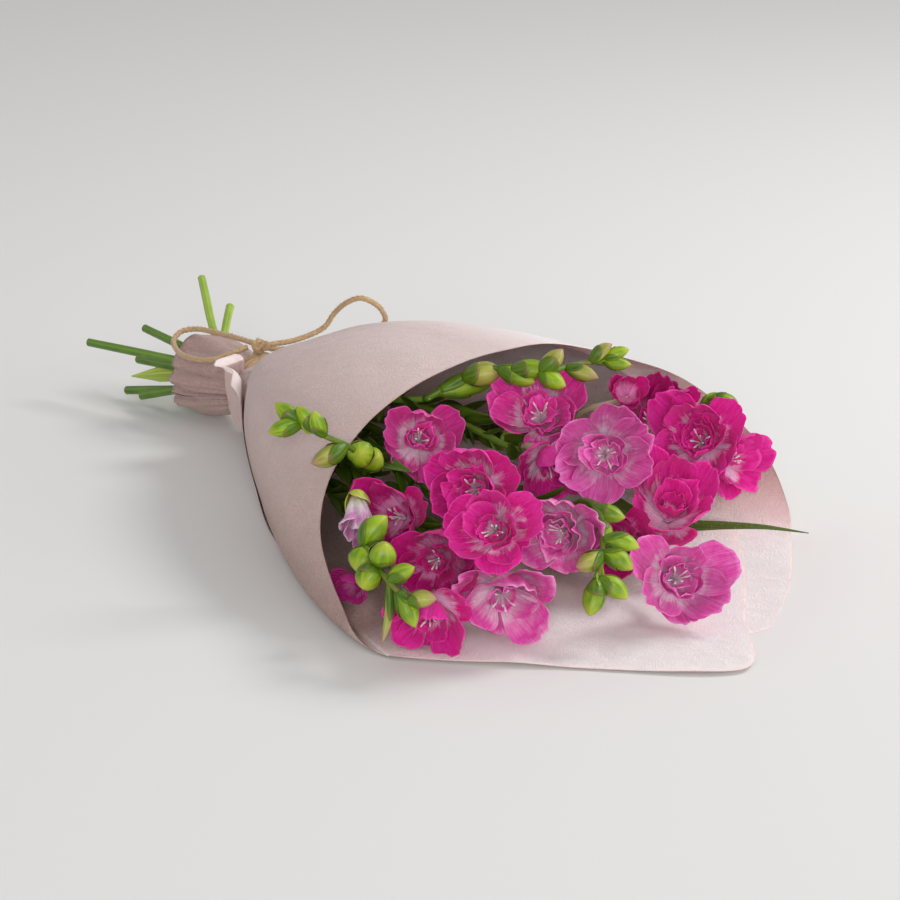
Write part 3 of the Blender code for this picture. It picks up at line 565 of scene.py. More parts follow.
def cloth_shade(grid, turns, v):
    """How light the cloth is at each point, from 0 to 1, by where the point lies on the bunch.

    The colour is uneven on purpose: it is painted light and shade. It stands in for light that the
    double layers lose, and for the light and shade of one setting: straight ramps of X, Y and Z,
    summed. The lip, the mouth, the far wall and the top are painted lighter, the inside and the tail
    painted darker; the rolled free side edge is painted lighter, and the cut edges painted darker
    than the cloth beside them.
    """
    x, y, z = np.moveaxis(grid, 2, 0)
    front = np.clip(np.maximum((x - 290) / 50, (y - 10) / 40), 0, 1)
    inside = np.clip(1 - z / 60, 0, 1) * np.clip((v - 0.15) / 0.2, 0, 1) * (turns[:, None] < 0.95)
    # Painted shade inside the wrap, and painted light on the lip, the mouth, the far wall and the top.
    bright = EVEN_SHADE - INSIDE_DARKER * inside * (1 - front)
    bright = bright + LIP_LIGHTER * np.clip(1 - z / 30, 0, 1) * front
    bright = bright + MOUTH_LIGHTER * np.clip((x - 300) / 60, 0, 1)
    bright = bright + WALL_LIGHTER * np.clip(y / 50, 0, 1) * np.clip(z / 30 - 1, 0, 1)
    bright = bright + TOP_LIGHTER * np.clip((z - 84) / 16, 0, 1)
    # Painted shade on the tail, painted light on the rolled free side edge, painted shade on the cut edges.
    bright = np.where(v < 0, TAIL_SHADE, bright)
    bright[-FREE_ROWS:] = FREE_SHADE
    bright[-1] = CUT_SHADE
    bright[:, -1] -= RIM_DARKER
    return np.clip(bright, 0, 1)


def build_wrap(settings):
    """The sheet as one grid: turns across, from its low edge to its rim or side edge along."""
    rng = np.random.default_rng(4)
    first, last = INNER_EDGE[0][0], OUTER_EDGE[-1][0]
    turns = np.concatenate([[first], np.linspace(first + 0.0004, last - 0.02, 430)[:-1],
                            np.linspace(last - 0.02, last, 16)])
    ends = np.array(INNER_EDGE + OUTER_EDGE)
    high = np.interp(turns, ends[:, 0], ends[:, 1])
    low = np.clip((turns - FREE_FROM) / (FREE_TO - FREE_FROM), 0, 1) - 1.0
    row = np.linspace(0, 1, 26)[:-1]
    ahead = np.append(np.linspace(0, 0.997, 84) ** 1.35, 1.0)
    tie = np.maximum(low + 0.006, 0.0)
    v = np.hstack([low[:, None] + (tie - low)[:, None] * row,
                   tie[:, None] + (high - tie)[:, None] * ahead])
    inset = LAYER_PITCH * np.maximum(1 - turns, 0)[:, None] + 0.15 + 0 * v
    away = outward(bulge(sheet_points(turns, v, inset), v, settings.bulge))
    inset = inset + gathers(turns, v, settings.gather_depth, rng)
    inset = inset + soft_folds(turns, v, settings.fold_depth, rng)
    grid = bulge(sheet_points(turns, v, inset), v, settings.bulge)
    free = np.clip((turns - FREE_TO) / (last - FREE_TO), 0, 1)[:, None]
    share = (free * np.maximum(0, 1 - v / FREE_REACH) ** 1.5)[:, :, None]
    sunk = np.maximum(-(share * TIP * away).sum(axis=2), 0)[:, :, None]
    grid = grid + share * TIP + away * PUSH_OUT * np.tanh(sunk / PUSH_OUT) * (1 - share) ** 2
    grid = roll_edge(grid, ROLL_ROWS)
    grid[:, :, 2] = np.maximum(grid[:, :, 2], 0.5 * settings.sheet_thickness)
    surface = Surface()
    surface.add(grid, shade=cloth_shade(grid, turns, v))
    sheet = surface.build("wrap_cloth", [wrap_material()], settings.sheet_thickness, ["wrap_sheet"])


def wrap_material():
    """Pale pink non-woven cloth: long curling fibres, cloudy where they lie thicker, with painted light and
    shade.
    """
    material, tree, shader = surface_material("non_woven_pink", 0.8, 0.25, 0.1, 0.9)
    place = node(tree, "ShaderNodeTexCoord").outputs["Object"]
    shader.inputs["Subsurface Radius"].default_value = (1.0, 0.85, 0.85)
    shader.inputs["Subsurface Scale"].default_value = 0.0006
    fibres = noise(tree, place, 62, 3, 0.55, 2.2)
    cross = noise(tree, place, 100, 3, 0.55, 1.8)
    cloud = noise(tree, place, 18, 3)
    strands = [(0.30, 0.0), (0.36, 1.0), (0.41, 0.0), (0.46, 1.0), (0.51, 0.0),
               (0.56, 1.0), (0.61, 0.0), (0.67, 1.0), (0.73, 0.0)]
    fibres, cross = ramp(tree, fibres, strands), ramp(tree, cross, strands)
    body = mix(tree, fibres, (0.62, 0.47, 0.455), (0.84, 0.70, 0.68))
    body = mix(tree, node(tree, "ShaderNodeMath", {0: cross, 1: 0.6}, operation="MULTIPLY").outputs[0],
               body, (0.50, 0.355, 0.345))
    body = mix(tree, ramp(tree, cloud, [(0.3, 0.0), (0.8, 0.25)]), body, (0.68, 0.46, 0.45))
    # Painted light and shade: by the shade attribute the cloth runs from its colour times (0.52, 0.425, 0.38)
    # up to an even (0.98, 0.805, 0.785).
    shade = node(tree, "ShaderNodeAttribute", attribute_name="shade").outputs["Fac"]
    body = mix(tree, shade, mix(tree, 1.0, body, (0.52, 0.425, 0.38), "MULTIPLY"), (0.98, 0.805, 0.785))
    tree.links.new(body, shader.inputs["Base Color"])
    height = node(tree, "ShaderNodeMath", {0: fibres, 1: 0.7, 2: cross}, operation="MULTIPLY_ADD").outputs[0]
    bump(tree, shader, height, 0.7, 0.3)
    return material


# ---------------------------------------------------------------- the twine

def twine_rope(surface, path, diameter, sides=18, caps=True):
    """Three plies laid round each other: a lobed tube whose lobes turn once in nine millimetres."""
    along = np.concatenate([[0], np.cumsum(np.linalg.norm(np.diff(path, axis=0), axis=1))])
    grid = rings(path, 0.5 * diameter * 0.97, sides, 1.0, 3, 0.13, -2 * math.pi * 3 * along / 9.0)
    surface.add(grid, round_grid=True, caps=caps)


def twine_fuzz(surface, path, diameter, count, rng):
    """Loose hairs: thin bent triangles-in-section that leave the twine at a slant."""
    tangent, across, up = frames(path)
    at = rng.integers(1, len(path) - 1, count)
    for i, spin, lean, reach in zip(at, rng.uniform(0, 2 * math.pi, count), rng.uniform(-1.2, 1.2, count),
                                    rng.uniform(0.9, 2.6, count)):
        out = math.cos(spin) * across[i] + math.sin(spin) * up[i]
        way = unit(out + lean * tangent[i])
        start = path[i] + out * 0.4 * diameter
        t = np.linspace(0, 1, 4)[:, None]
        hair = start + way * reach * t + tangent[i] * (0.5 * lean * reach) * t ** 2
        surface.add(rings(hair, 0.07 * (1.1 - t[:, 0]), 3), 0, 0.8, True, True)


def twine_material():
    """Jute: golden brown fibres, in dark and light streaks along the twine, flecked paler."""
    material, tree, shader = surface_material("jute", 0.85, 0.2, 0.3, 0.0)
    place = node(tree, "ShaderNodeTexCoord").outputs["Object"]
    uv = node(tree, "ShaderNodeUVMap", uv_map="UVMap").outputs["UV"]
    strands = noise(tree, stretched(tree, uv, (14, 60, 1)), 1.0, 4, 0.7, 1.0)
    grain = noise(tree, place, 900, 4, 0.7, 1.0)
    body = mix(tree, ramp(tree, strands, [(0.3, 0.0), (0.7, 1.0)]), (0.24, 0.13, 0.055), (0.56, 0.37, 0.19))
    body = mix(tree, ramp(tree, grain, [(0.4, 0.0), (0.72, 0.6)]), body, (0.70, 0.52, 0.33))
    tree.links.new(body, shader.inputs["Base Color"])
    height = node(tree, "ShaderNodeMath", {0: strands, 1: 1.0, 2: grain}, operation="MULTIPLY_ADD").outputs[0]
    bump(tree, shader, height, 0.7, 0.3)
    return material


def loop_length(route):
    """The length in metres of the smooth curve through a route."""
    path = smooth(route, 60)
    return float(np.linalg.norm(np.diff(path, axis=0), axis=1).sum()) * MM


def build_twine(settings):
    """The turns round the neck, the knot on top of them and the two loops of the bow."""
    rng = np.random.default_rng(7)
    jute = twine_material()
    diameter = TWINE_D
    radius = NECK_R + GAP + 0.5 * diameter + 0.25
    angle = np.linspace(0, 2 * math.pi * BINDING_TURNS, 90 * BINDING_TURNS)
    pitch = diameter + 2 * GAP
    binding = np.column_stack([6.0 + pitch * (angle / (2 * math.pi) - BINDING_TURNS / 2),
                               radius * np.sin(angle), NECK_Z + radius * np.cos(angle)])
    surface = Surface()
    twine_rope(surface, binding, diameter)
    twine_fuzz(surface, binding, diameter, settings.hairs, rng)
    surface.build("twine_turns", [jute], 0.0, ["twine_binding"])

    angle = np.linspace(0, 2 * math.pi, 90)
    x, y, z = KNOT
    knot = np.column_stack([x + 4.2 * np.sin(angle) + 1.4 * np.sin(2 * angle),
                            y + 2.6 * np.cos(angle) - 1.6 * np.cos(2 * angle),
                            z + 0.8 - 1.7 * np.sin(3 * angle)])
    over = np.column_stack([x + 0.5 * np.sin(angle), y + 3.1 * np.cos(angle), z - 0.2 + 3.2 * np.sin(angle)])
    surface = Surface()
    twine_rope(surface, knot, 0.92 * diameter, 14)
    twine_rope(surface, over, 0.92 * diameter, 14)
    twine_fuzz(surface, knot, diameter, settings.hairs // 3, rng)
    surface.build("knot", [jute], 0.0, ["twine_knot"])

    for name, route, node_name in (("bow_loop_left", LOOP_LEFT, "twine_loop_left"),
                                   ("bow_loop_right", LOOP_RIGHT, "twine_loop_right")):
        path = smooth(route, 150)
        surface = Surface()
        twine_rope(surface, path, diameter)
        loop = surface.build(name, [jute], 0.0, [node_name])
        loop_length(route)
        surface = Surface()
        twine_fuzz(surface, path, diameter, settings.hairs // 2, rng)
        surface.build(name + "_hairs", [jute], 0.0, ())


# ---------------------------------------------------------------- the stems

def stem_path(name, count=17):
    """Cut end, out of the sheet's tail, straight through the neck, then on to the flowers."""
    cut, (column, row), front = STEMS[name]
    y, z = column * SLOT, NECK_Z + row * ROW
    neck = [np.array((x, y, z)) for x in (-10, 6, 24)]
    share = (TAIL_X - neck[0][0]) / (cut[0] - neck[0][0])
    leave = neck[0] + (np.array(cut) - neck[0]) * share
    off = leave[1:] - (0, TAIL_Z)
    reach = np.linalg.norm(off)
    leave[1:] = np.array((0, TAIL_Z)) + off * min(1.0, TAIL_ROOM / reach)
    return smooth([cut, leave, *neck, *front], count)


def stem_radius(share):
    """Full thickness to the middle, then tapering to the spike."""
    return 0.5 * (STEM_D + (SPIKE_D - STEM_D) * np.clip((share - 0.35) / 0.5, 0, 1))


def build_stems(settings):
    """Each stem: a slightly ribbed tube with a node here and there and a dished cut end."""
    rng = np.random.default_rng(11)
    green = green_material("stem_green", (0.055, 0.13, 0.014), (0.16, 0.29, 0.035), (0.10, 0.20, 0.03), 9)
    lime = green_material("stem_lime", (0.17, 0.29, 0.03), (0.36, 0.50, 0.07), (0.16, 0.28, 0.04), 9)
    bract = green_material("stem_bract", (0.025, 0.075, 0.004), (0.10, 0.19, 0.012), (0.16, 0.15, 0.03), 14)
    cut_face = cut_material()
    for name in STEMS:
        path = smooth(stem_path(name), 110)
        share = np.linspace(0, 1, len(path))
        radii = stem_radius(share)
        for place in rng.uniform(0.45, 0.98, 3):
            radii = radii * (1 + 0.22 * np.exp(-((share - place) / 0.006) ** 2))
        radii = radii * (1 + 0.03 * np.sin(37 * share + rng.uniform(0, 6)))
        surface = Surface()
        surface.add(rings(path, radii, 14, 1.0, 5, 0.035), 0, rng.uniform(0.3, 0.6), True)
        way = unit(path[0] - path[1])
        _, side, up = frames(path[:3])
        t = np.array([1.0, 0.8, 0.55, 0.3, 0.08])
        depth = np.array([0.0, -0.25, -0.9, -1.6, -1.8])
        angle = np.arange(14) * 2 * math.pi / 14
        ring = np.cos(angle)[:, None] * side[0] + np.sin(angle)[:, None] * up[0]
        dish = path[0] + ring[None] * (t * radii[0] * 1.02)[:, None, None] + way * depth[:, None, None]
        surface.add(dish[::-1], 1, 0.5, True, True)
        end = rings(path[-2:] + (path[-1] - path[-2]) * np.array([[1.0], [1.4]]), [radii[-1], 0.3], 14)
        surface.add(end, 0, 0.5, True, True)
        _, across, lift = frames(path)
        for k, place in enumerate(np.linspace(0.62, 0.965, settings.stem_bracts)):
            i = int(place * (len(path) - 1))
            spin = 2.4 * k + rng.uniform(-0.4, 0.4)
            out = math.cos(spin) * across[i] + math.sin(spin) * lift[i]
            if path[i][2] < 34:
                out[2] = abs(out[2])
            if abs(path[i][1] + 20) > 60:
                out[1] = -math.copysign(out[1], path[i][1] + 20)
            add_bract(surface, path[i] + out * radii[i], unit(path[i + 1] - path[i]), out,
                      rng.uniform(16, 30), rng.uniform(3.2, 5.2), 2, rng.uniform(0.0, 0.55))
        skin = lime if name in ("stem_11", "stem_07") else green
        surface.build(name + "_fine", [skin, cut_face, bract], 0.0, [name])


def add_bract(surface, foot, way, out, length, half, slot, shade):
    """A boat-shaped bract as a closed lens: it leaves a stem at `foot`, bends out and ends in a point."""
    t = np.linspace(0, 1, 12)
    middle = foot + np.outer(t * length, way) + np.outer((0.1 * t + 0.34 * t ** 2) * length, out)
    side = np.cross(way, out)
    wide = half * np.sin(math.pi * np.clip(0.12 + 0.88 * t, 0, 1) ** 0.85) + 0.05
    angle = np.arange(12) * 2 * math.pi / 12
    across, lift = np.cos(angle), np.sin(angle)
    hollow = 0.45 * wide[:, None] * across[None] ** 2
    thick = 0.35 * np.sin(math.pi * np.clip(t, 0.05, 0.97))[:, None] * lift[None]
    grid = (middle[:, None] + (wide[:, None] * across[None])[:, :, None] * side
            + (hollow + thick)[:, :, None] * out)
    surface.add(grid, slot, shade, True, True)


def cut_material():
    """A cut end: pale wet pith inside a green skin, browning a little."""
    material, tree, shader = surface_material("cut_end", 0.5, 0.4)
    place = node(tree, "ShaderNodeTexCoord").outputs["Object"]
    grain = noise(tree, place, 900, 3)
    body = mix(tree, ramp(tree, grain, [(0.35, 0.0), (0.7, 1.0)]), (0.13, 0.17, 0.05), (0.42, 0.46, 0.20))
    tree.links.new(body, shader.inputs["Base Color"])
    bump(tree, shader, grain, 0.5, 0.2)
    return material


# ---------------------------------------------------------------- the blooms

def seat(stem, share, target):
    """Where a piece starts, just clear of its stem, and the way it leaves it.

    At share 1 it goes straight on from the stem's end; before that it leaves square to the
    stem, on the side of the target.
    """
    path = stem_path(stem)
    at = share * (len(path) - 1)
    i = min(int(at), len(path) - 2)
    tangent = unit(path[i + 1] - path[i])
    place = path[i] + (path[i + 1] - path[i]) * (at - i)
    if share == 1.0:
        return place + tangent * GAP, tangent
    away = np.array(target, float) - place
    away = unit(away - tangent * (away @ tangent))
    return place + away * (stem_radius(share) + GAP), away


def petal(base, axis, right, up, turn, length, width, leans, curl, wave, rng, shape=(18, 21)):
    """One petal as a grid, along by across, and its UVs.

    Its middle line leans away from the axis by an angle that runs smoothly through the three
    `leans`, at the foot, halfway and at the tip. Across, it follows an arc of radius `curl`, so
    it cups round the axis. The outline is narrow at the foot and round at the tip. The margin
    waves and rolls over, and the whole petal has small random crinkles and one soft crease.
    """
    rows, columns = shape
    v = np.linspace(0, 1, rows)[:, None]
    u = np.linspace(-1, 1, columns)[None, :]
    fine = np.linspace(0, 1, 60)
    lean = (1 - fine) ** 2 * leans[0] + 2 * fine * (1 - fine) * leans[1] + fine ** 2 * leans[2]
    step = length / 59
    rise = np.concatenate([[0], np.cumsum(np.cos(lean))[:-1]]) * step
    spread = np.concatenate([[0], np.cumsum(np.sin(lean))[:-1]]) * step
    notch = 0.06 * np.exp(-((u - rng.uniform(-0.2, 0.2)) / 0.14) ** 2) * rng.uniform(0, 1)
    ragged = sum(rng.uniform(0.004, 0.02) * np.sin(k * 2.3 * u + rng.uniform(0, 6)) for k in (1, 2, 3))
    w = v * (1 - 0.24 * np.abs(u) ** 2.6 - notch + ragged)
    half = width * (0.2 + 0.8 * np.sin(0.5 * math.pi * np.clip(w / 0.62, 0, 1)) ** 1.1)
    half = half * np.sqrt(np.clip(1 - (np.maximum(w - 0.62, 0) / 0.55) ** 2.3, 0.12, 1))
    along, out = np.interp(w, fine, rise), np.interp(w, fine, spread)
    angle = np.interp(w, fine, lean)
    arc = curl * (0.3 + 0.7 * w)
    s = u * half
    lateral, inward = arc * np.sin(s / arc), arc * (1 - np.cos(s / arc))
    crinkle = 0 * w
    for k in range(8):
        slant = rng.uniform(0, math.pi)
        crinkle = crinkle + rng.uniform(0.3, 1.0) / (1 + 0.45 * k) * np.sin(
            (2.2 + 2.0 * k) * (np.cos(slant) * s / width + 1.6 * np.sin(slant) * w) + rng.uniform(0, 6))
    edge = np.maximum(np.abs(u) ** 3 * w, w ** 7)
    frill = (np.sin(2.6 * math.pi * u + rng.uniform(0, 6)) * np.abs(u) ** 2 * w
             + 0.45 * np.sin(4.3 * math.pi * u + rng.uniform(0, 6)) * w ** 4
             + 0.12 * np.sin(9.1 * math.pi * u + rng.uniform(0, 6)) * edge)
    crease = np.abs(u - rng.uniform(-0.35, 0.35) - rng.uniform(-0.3, 0.3) * w)
    fold = rng.choice([-1.6, 1.2]) * np.exp(-(crease / 0.16) ** 2) * w
    ripple = wave * (0.5 * crinkle * w ** 0.7 + frill + fold)
    ripple = ripple + rng.uniform(-1.2, 2.4) * wave * edge
    radial = math.cos(turn) * right + math.sin(turn) * up
    sideways = -math.sin(turn) * right + math.cos(turn) * up
    away = -np.sin(angle)[:, :, None] * axis + np.cos(angle)[:, :, None] * radial
    grid = (base + along[:, :, None] * axis + (out + 0.1 * width)[:, :, None] * radial
            + lateral[:, :, None] * sideways + (ripple - inward)[:, :, None] * away)
    uv = np.stack([(1 + u) / 2 + 0 * w, np.clip(w, 0, 1)], axis=2)
    return grid, uv


def spreading(leans):
    """How far out a petal gets, as a share of its length: the mean sine of its lean."""
    t = np.linspace(0, 1, 40)
    return float(np.sin((1 - t) ** 2 * leans[0] + 2 * t * (1 - t) * leans[1] + t ** 2 * leans[2]).mean())


def bloom_tube(name):
    """The tube's middle line: square off its stem, bending round to face the way it opens."""
    centre, (right, up), radius, stem, share = BLOOMS[name][:5]
    centre = np.array(centre, float)
    facing = unit(TO_VIEW + right * ALONG_RIGHT + up * ALONG_UP)
    start, away = seat(stem, share, centre - facing * radius)
    heel = centre - facing * 0.55 * radius
    t = np.linspace(0, 1, 26)[:, None]
    reach = 0.4 * np.linalg.norm(heel - start)
    curve = ((1 - t) ** 3 * start + 3 * (1 - t) ** 2 * t * (start + away * reach)
             + 3 * (1 - t) * t ** 2 * (heel - facing * reach) + t ** 3 * heel)
    return curve, centre, facing, radius


def build_bloom(name, settings, looks):
    """A bloom: its tube, a whorl of broad outer petals, crowded crinkled inner ones, stamens."""
    curve, _, facing, radius = bloom_tube(name)
    colouring, opening, fullness = BLOOMS[name][5:]
    rng = np.random.default_rng(100 + int(name[-2:]))
    size = 1.14 * radius + settings.petal_overhang * np.interp(radius, *OVERHANG)
    right = unit(ALONG_RIGHT - facing * (ALONG_RIGHT @ facing))
    up = np.cross(facing, right)
    surface = Surface()
    heel = curve[-1]
    t = np.linspace(0, 1, len(curve))
    closed = opening < 0.3
    swell = 0.34 if closed else 0.2
    surface.add(rings(curve, 1.3 + swell * radius * t ** 2.2, 12, 1.0, 3, 0.06), 1, 0.55, True, True)
    add_calyx(surface, curve, 1.3 + 1.4 * swell * radius * t ** 2.2, closed, rng)
    size = size + (3.5 if closed else 0.0)
    foot = heel - facing * (0.45 * size if closed else 0.0)
    for k in range(6):
        front = k % 2
        turn = 2 * math.pi * (k + rng.uniform(-0.3, 0.3)) / 6 + 0.5
        leans = np.array((1.25, 0.55 + 0.4 * opening, 1.0 * opening - 0.3))
        leans = leans - front * np.array((0.1, 0.3, 0.45))
        leans = leans * rng.uniform(0.8, 1.2) - 0.22 * math.sin(turn) * np.array((0.3, 1.0, 1.3))
        if closed:
            leans = np.array((0.6, 0.2, rng.uniform(-0.5, 0.5)))
        reach = size * rng.uniform(0.86, 1.14) * (1 + 0.1 * math.sin(turn)) * (1 - 0.12 * front)
        length = rng.uniform(1.9, 2.5) * size if closed else reach / max(spreading(leans), 0.55)
        grid, uv = petal(foot, facing, right, up, turn, length, size * rng.uniform(0.6, 0.74), leans,
                         size * rng.uniform(0.62, 0.95) * (0.6 if closed else 1.0), 0.05 * size, rng)
        grid[:, :, 2] = np.maximum(grid[:, :, 2], PETAL_FLOOR)
        surface.add(grid, 0, rng.uniform(0.4, 0.72), uv=uv)
    inner = fullness - 6
    for k in range(inner):
        depth = k / max(inner - 1, 1)
        turn = 2.4 * k + rng.uniform(-0.5, 0.5)
        length = size * (1.08 - 0.45 * depth) * rng.uniform(0.85, 1.15)
        leans = (0.75 - 0.4 * depth, (0.3 + 0.4 * opening) * (1 - 0.5 * depth) * rng.uniform(0.6, 1.4),
                 (1.0 * opening - 0.75) * (1 - 0.5 * depth) * rng.uniform(0.3, 1.6))
        grid, uv = petal(heel + facing * 0.05 * size, facing, right, up, turn, length,
                         size * (0.62 - 0.26 * depth) * rng.uniform(0.8, 1.15), leans,
                         size * (0.55 - 0.25 * depth), 0.07 * size, rng, (15, 17))
        grid[:, :, 2] = np.maximum(grid[:, :, 2], PETAL_FLOOR)
        # Painted light: the inner petals deeper in the cup get up to 0.15 more shade, so they are lighter.
        surface.add(grid, 0, rng.uniform(0.45, 0.75) + 0.15 * depth, uv=uv)
    for k in range(6 if opening > 0.5 else 0):
        turn = 2 * math.pi * k / 6 + rng.uniform(-0.4, 0.4)
        lean = (math.cos(turn) * right + math.sin(turn) * up) * rng.uniform(0.05, 0.2) * size
        tip = heel + facing * size * rng.uniform(0.55, 0.72) + lean
        thread = smooth([heel + 0.2 * lean, heel + facing * 0.35 * size + 0.4 * lean, tip], 9)
        surface.add(rings(thread, np.linspace(0.30, 0.2, 9), 6), 2, 0.6, True, True)
        anther = smooth([tip - facing * 0.8 - 0.1 * lean, tip + 0.1 * lean,
                         tip + facing * 2.2 + 0.5 * lean], 8)
        fat = 0.42 * np.sin(np.linspace(0.35, math.pi - 0.25, 8)) ** 0.6
        surface.add(rings(anther, fat, 7), 2, 0.8, True, True)
    surface.build(name + "_petals", [looks[k] for k in (colouring, "tube", "stamen", "calyx", "young")],
                  settings.petal_thickness, [name])


def add_calyx(surface, curve, radii, closed, rng):
    """Two pointed bracts wrapped round a bloom's tube: at its foot, or at its mouth while it is closed."""
    along = np.concatenate([[0], np.cumsum(np.linalg.norm(np.diff(curve, axis=0), axis=1))])
    length, start = (15.0, along[-1] - 9.0) if closed else (9.0, 0.0)
    tangent, across, up = frames(curve)
    spin = rng.uniform(0, 2 * math.pi)
    for side in (0.0, math.pi):
        s = np.linspace(0, 1, 12)
        at = start + s * length * (1.0 if side else 0.8)
        half = (1.75 * np.sqrt(np.clip(1 - s ** 1.8, 0, 1)) + 0.03)[:, None]
        angle = spin + side + half * np.linspace(-1, 1, 9)[None]
        middle, sx, sy = (np.column_stack([np.interp(at, along, values[:, k]) for k in range(3)])
                          for values in (curve, across, up))
        middle = middle + np.outer(np.maximum(at - along[-1], 0), tangent[-1])
        size = (np.interp(at, along, radii) + 0.45 + 0.5 * np.sin(math.pi * s) + 0.6 * s ** 3)[:, None]
        grid = (middle[:, None] + (size * np.cos(angle))[:, :, None] * sx[:, None]
                + (size * np.sin(angle))[:, :, None] * sy[:, None])
        surface.add(grid, 4 if closed else 3, 0.5)


def bloom_looks():
    """The colourings of the petals, and the tube's and the stamens' materials."""
    white = (0.98, 0.72, 0.86)
    return {
        "magenta": petal_material("petal_magenta", (0.95, 0.60, 0.80), (0.74, 0.008, 0.27),
                                  (0.80, 0.014, 0.33),
                                  (0.92, 0.20, 0.56), 0.3),
        "deep": petal_material("petal_deep", (0.85, 0.30, 0.56), (0.54, 0.003, 0.17), (0.68, 0.006, 0.25),
                               (0.80, 0.05, 0.38), 0.3),
        "rose": petal_material("petal_rose", white, (0.82, 0.05, 0.38),
                               (0.80, 0.018, 0.33), (0.92, 0.32, 0.62), 0.4),
        "pale": petal_material("petal_pale", white, (0.88, 0.34, 0.60),
                               (0.80, 0.05, 0.40), (0.76, 0.04, 0.38), 0.45),
        "lilac": petal_material("petal_lilac", white, (0.80, 0.15, 0.48),
                                (0.77, 0.05, 0.39), (0.92, 0.50, 0.74), 0.4),
        "wine": petal_material("petal_wine", (0.62, 0.16, 0.36), (0.50, 0.006, 0.20), (0.66, 0.02, 0.30),
                               (0.72, 0.10, 0.44), 0.4),
        "blush": petal_material("petal_blush", (0.66, 0.66, 0.30), (0.86, 0.68, 0.74), (0.62, 0.14, 0.44),
                                (0.88, 0.55, 0.72), 0.5),
        "tube": green_material("bloom_tube", (0.52, 0.44, 0.24), (0.72, 0.62, 0.42),
                               (0.72, 0.26, 0.46), 8, 0.45),
        "calyx": green_material("bloom_calyx", (0.13, 0.22, 0.02), (0.30, 0.38, 0.06),
                                (0.22, 0.12, 0.04), 14, 0.45),
        "young": green_material("bloom_young_calyx", (0.26, 0.34, 0.015), (0.56, 0.60, 0.08),
                                (0.60, 0.55, 0.20), 12),
        "stamen": stamen_material(),
    }


def stamen_material():
    """Stamens: waxy white, a little cream."""
    material, tree, shader = surface_material("stamen_white", 0.5, 0.4, 0.0, 0.2)
    place = node(tree, "ShaderNodeTexCoord").outputs["Object"]
    grain = noise(tree, place, 700, 3)
    body = mix(tree, grain, (0.62, 0.52, 0.56), (0.92, 0.88, 0.84))
    tree.links.new(body, shader.inputs["Base Color"])
    bump(tree, shader, grain, 0.4, 0.1)
    return material


# ---------------------------------------------------------------- buds and leaves

def view_direction(right, up, out):
    """A unit direction from its shares to the right, upwards and outwards."""
    return unit(right * ALONG_RIGHT + up * ALONG_UP + out * TO_VIEW)


def add_bud(surface, foot, way, length, radius, rng):
    """A bud: a ribbed teardrop, and two pointed bracts that hug its lower half."""
    t = np.linspace(0, 1, 20)
    drop = np.where(t < 0.44, 0.36 + 0.64 * np.sin(0.5 * math.pi * np.minimum(t / 0.44, 1)),
                    np.cos(0.5 * math.pi * (np.maximum(t - 0.44, 0) / 0.56) ** 1.35) ** 0.85)
    bend = unit(np.cross(way, rng.normal(size=3))) * 0.06 * length
    path = foot + np.outer(t * length, way) + np.outer(np.sin(math.pi * t), bend)
    shade = rng.uniform(0.38, 0.66)
    slot = 2 if rng.uniform() < 0.22 else 0
    surface.add(rings(path, radius * np.maximum(drop, 0.03), 16, 1.0, 3, 0.075), slot, shade, True, True)
    _, across, up = frames(path)
    spin = rng.uniform(0, 2 * math.pi)
    for side in (0.0, math.pi):
        s = np.linspace(0.0, 0.52 + 0.12 * (side > 0), 11)
        half = 1.5 * np.sqrt(np.clip(1 - (s / s[-1]) ** 1.6, 0, 1)) + 0.04
        angle = spin + side + half[:, None] * np.linspace(-1, 1, 9)[None]
        size = radius * np.interp(s, t, drop)[:, None] * 1.03 + 0.28 + 0.25 * (s / s[-1])[:, None] ** 3
        middle = np.column_stack([np.interp(s, t, path[:, k]) for k in range(3)])
        sx = np.column_stack([np.interp(s, t, across[:, k]) for k in range(3)])
        sy = np.column_stack([np.interp(s, t, up[:, k]) for k in range(3)])
        grid = (middle[:, None] + (size * np.cos(angle))[:, :, None] * sx[:, None]
                + (size * np.sin(angle))[:, :, None] * sy[:, None])
        surface.add(grid, 1, shade - 0.1)


def build_sprays(settings):
    """Each spray: its jointed stalk, going on from a stem, and its closed buds."""
    bud = green_material("bud_green", (0.08, 0.17, 0.004), (0.30, 0.43, 0.012), (0.40, 0.45, 0.04), 15, 0.42)
    bract = green_material("bract_green", (0.03, 0.085, 0.004), (0.13, 0.24, 0.010),
                           (0.22, 0.15, 0.04), 18, 0.42)
    tan = green_material("bud_tan", (0.20, 0.21, 0.02), (0.42, 0.40, 0.09), (0.38, 0.20, 0.14), 12, 0.42)
    for name, (stem, points, buds) in SPRAYS.items():
        rng = np.random.default_rng(200 + len(name) + len(buds))
        start, away = seat(stem, 1.0, points[0])
        coarse = np.vstack([start, smooth([start + away, *points], 2 * len(points) + 1)])
        path = smooth(coarse, 8 * len(points))
        radii = np.linspace(0.5 * SPIKE_D, 0.34 * SPIKE_D, len(path))
        surface = Surface()
        surface.add(rings(path, radii, 10, 1.0, 3, 0.05), 1, 0.5, True, True)
        for share, pointing, length, radius in buds:
            foot = coarse[int(round(share * (len(coarse) - 1)))]
            add_bud(surface, foot, view_direction(*pointing), length * settings.bud_growth,
                    radius * settings.bud_growth, rng)
        end = unit(path[-1] - path[-4])
        for k in range(settings.tip_bracts):
            spin = 2.4 * k + rng.uniform(-0.3, 0.3)
            _, side, lift = frames(path[-3:])
            out = math.cos(spin) * side[-1] + math.sin(spin) * lift[-1]
            add_bract(surface, path[-1] - end * (1.0 + 1.5 * k), end, out,
                      rng.uniform(6, 9.5), rng.uniform(1.6, 2.3),
                      k % 2, rng.uniform(0.4, 0.65))
        surface.build(name + "_fine", [bud, bract, tan], settings.bract_thickness, [name])


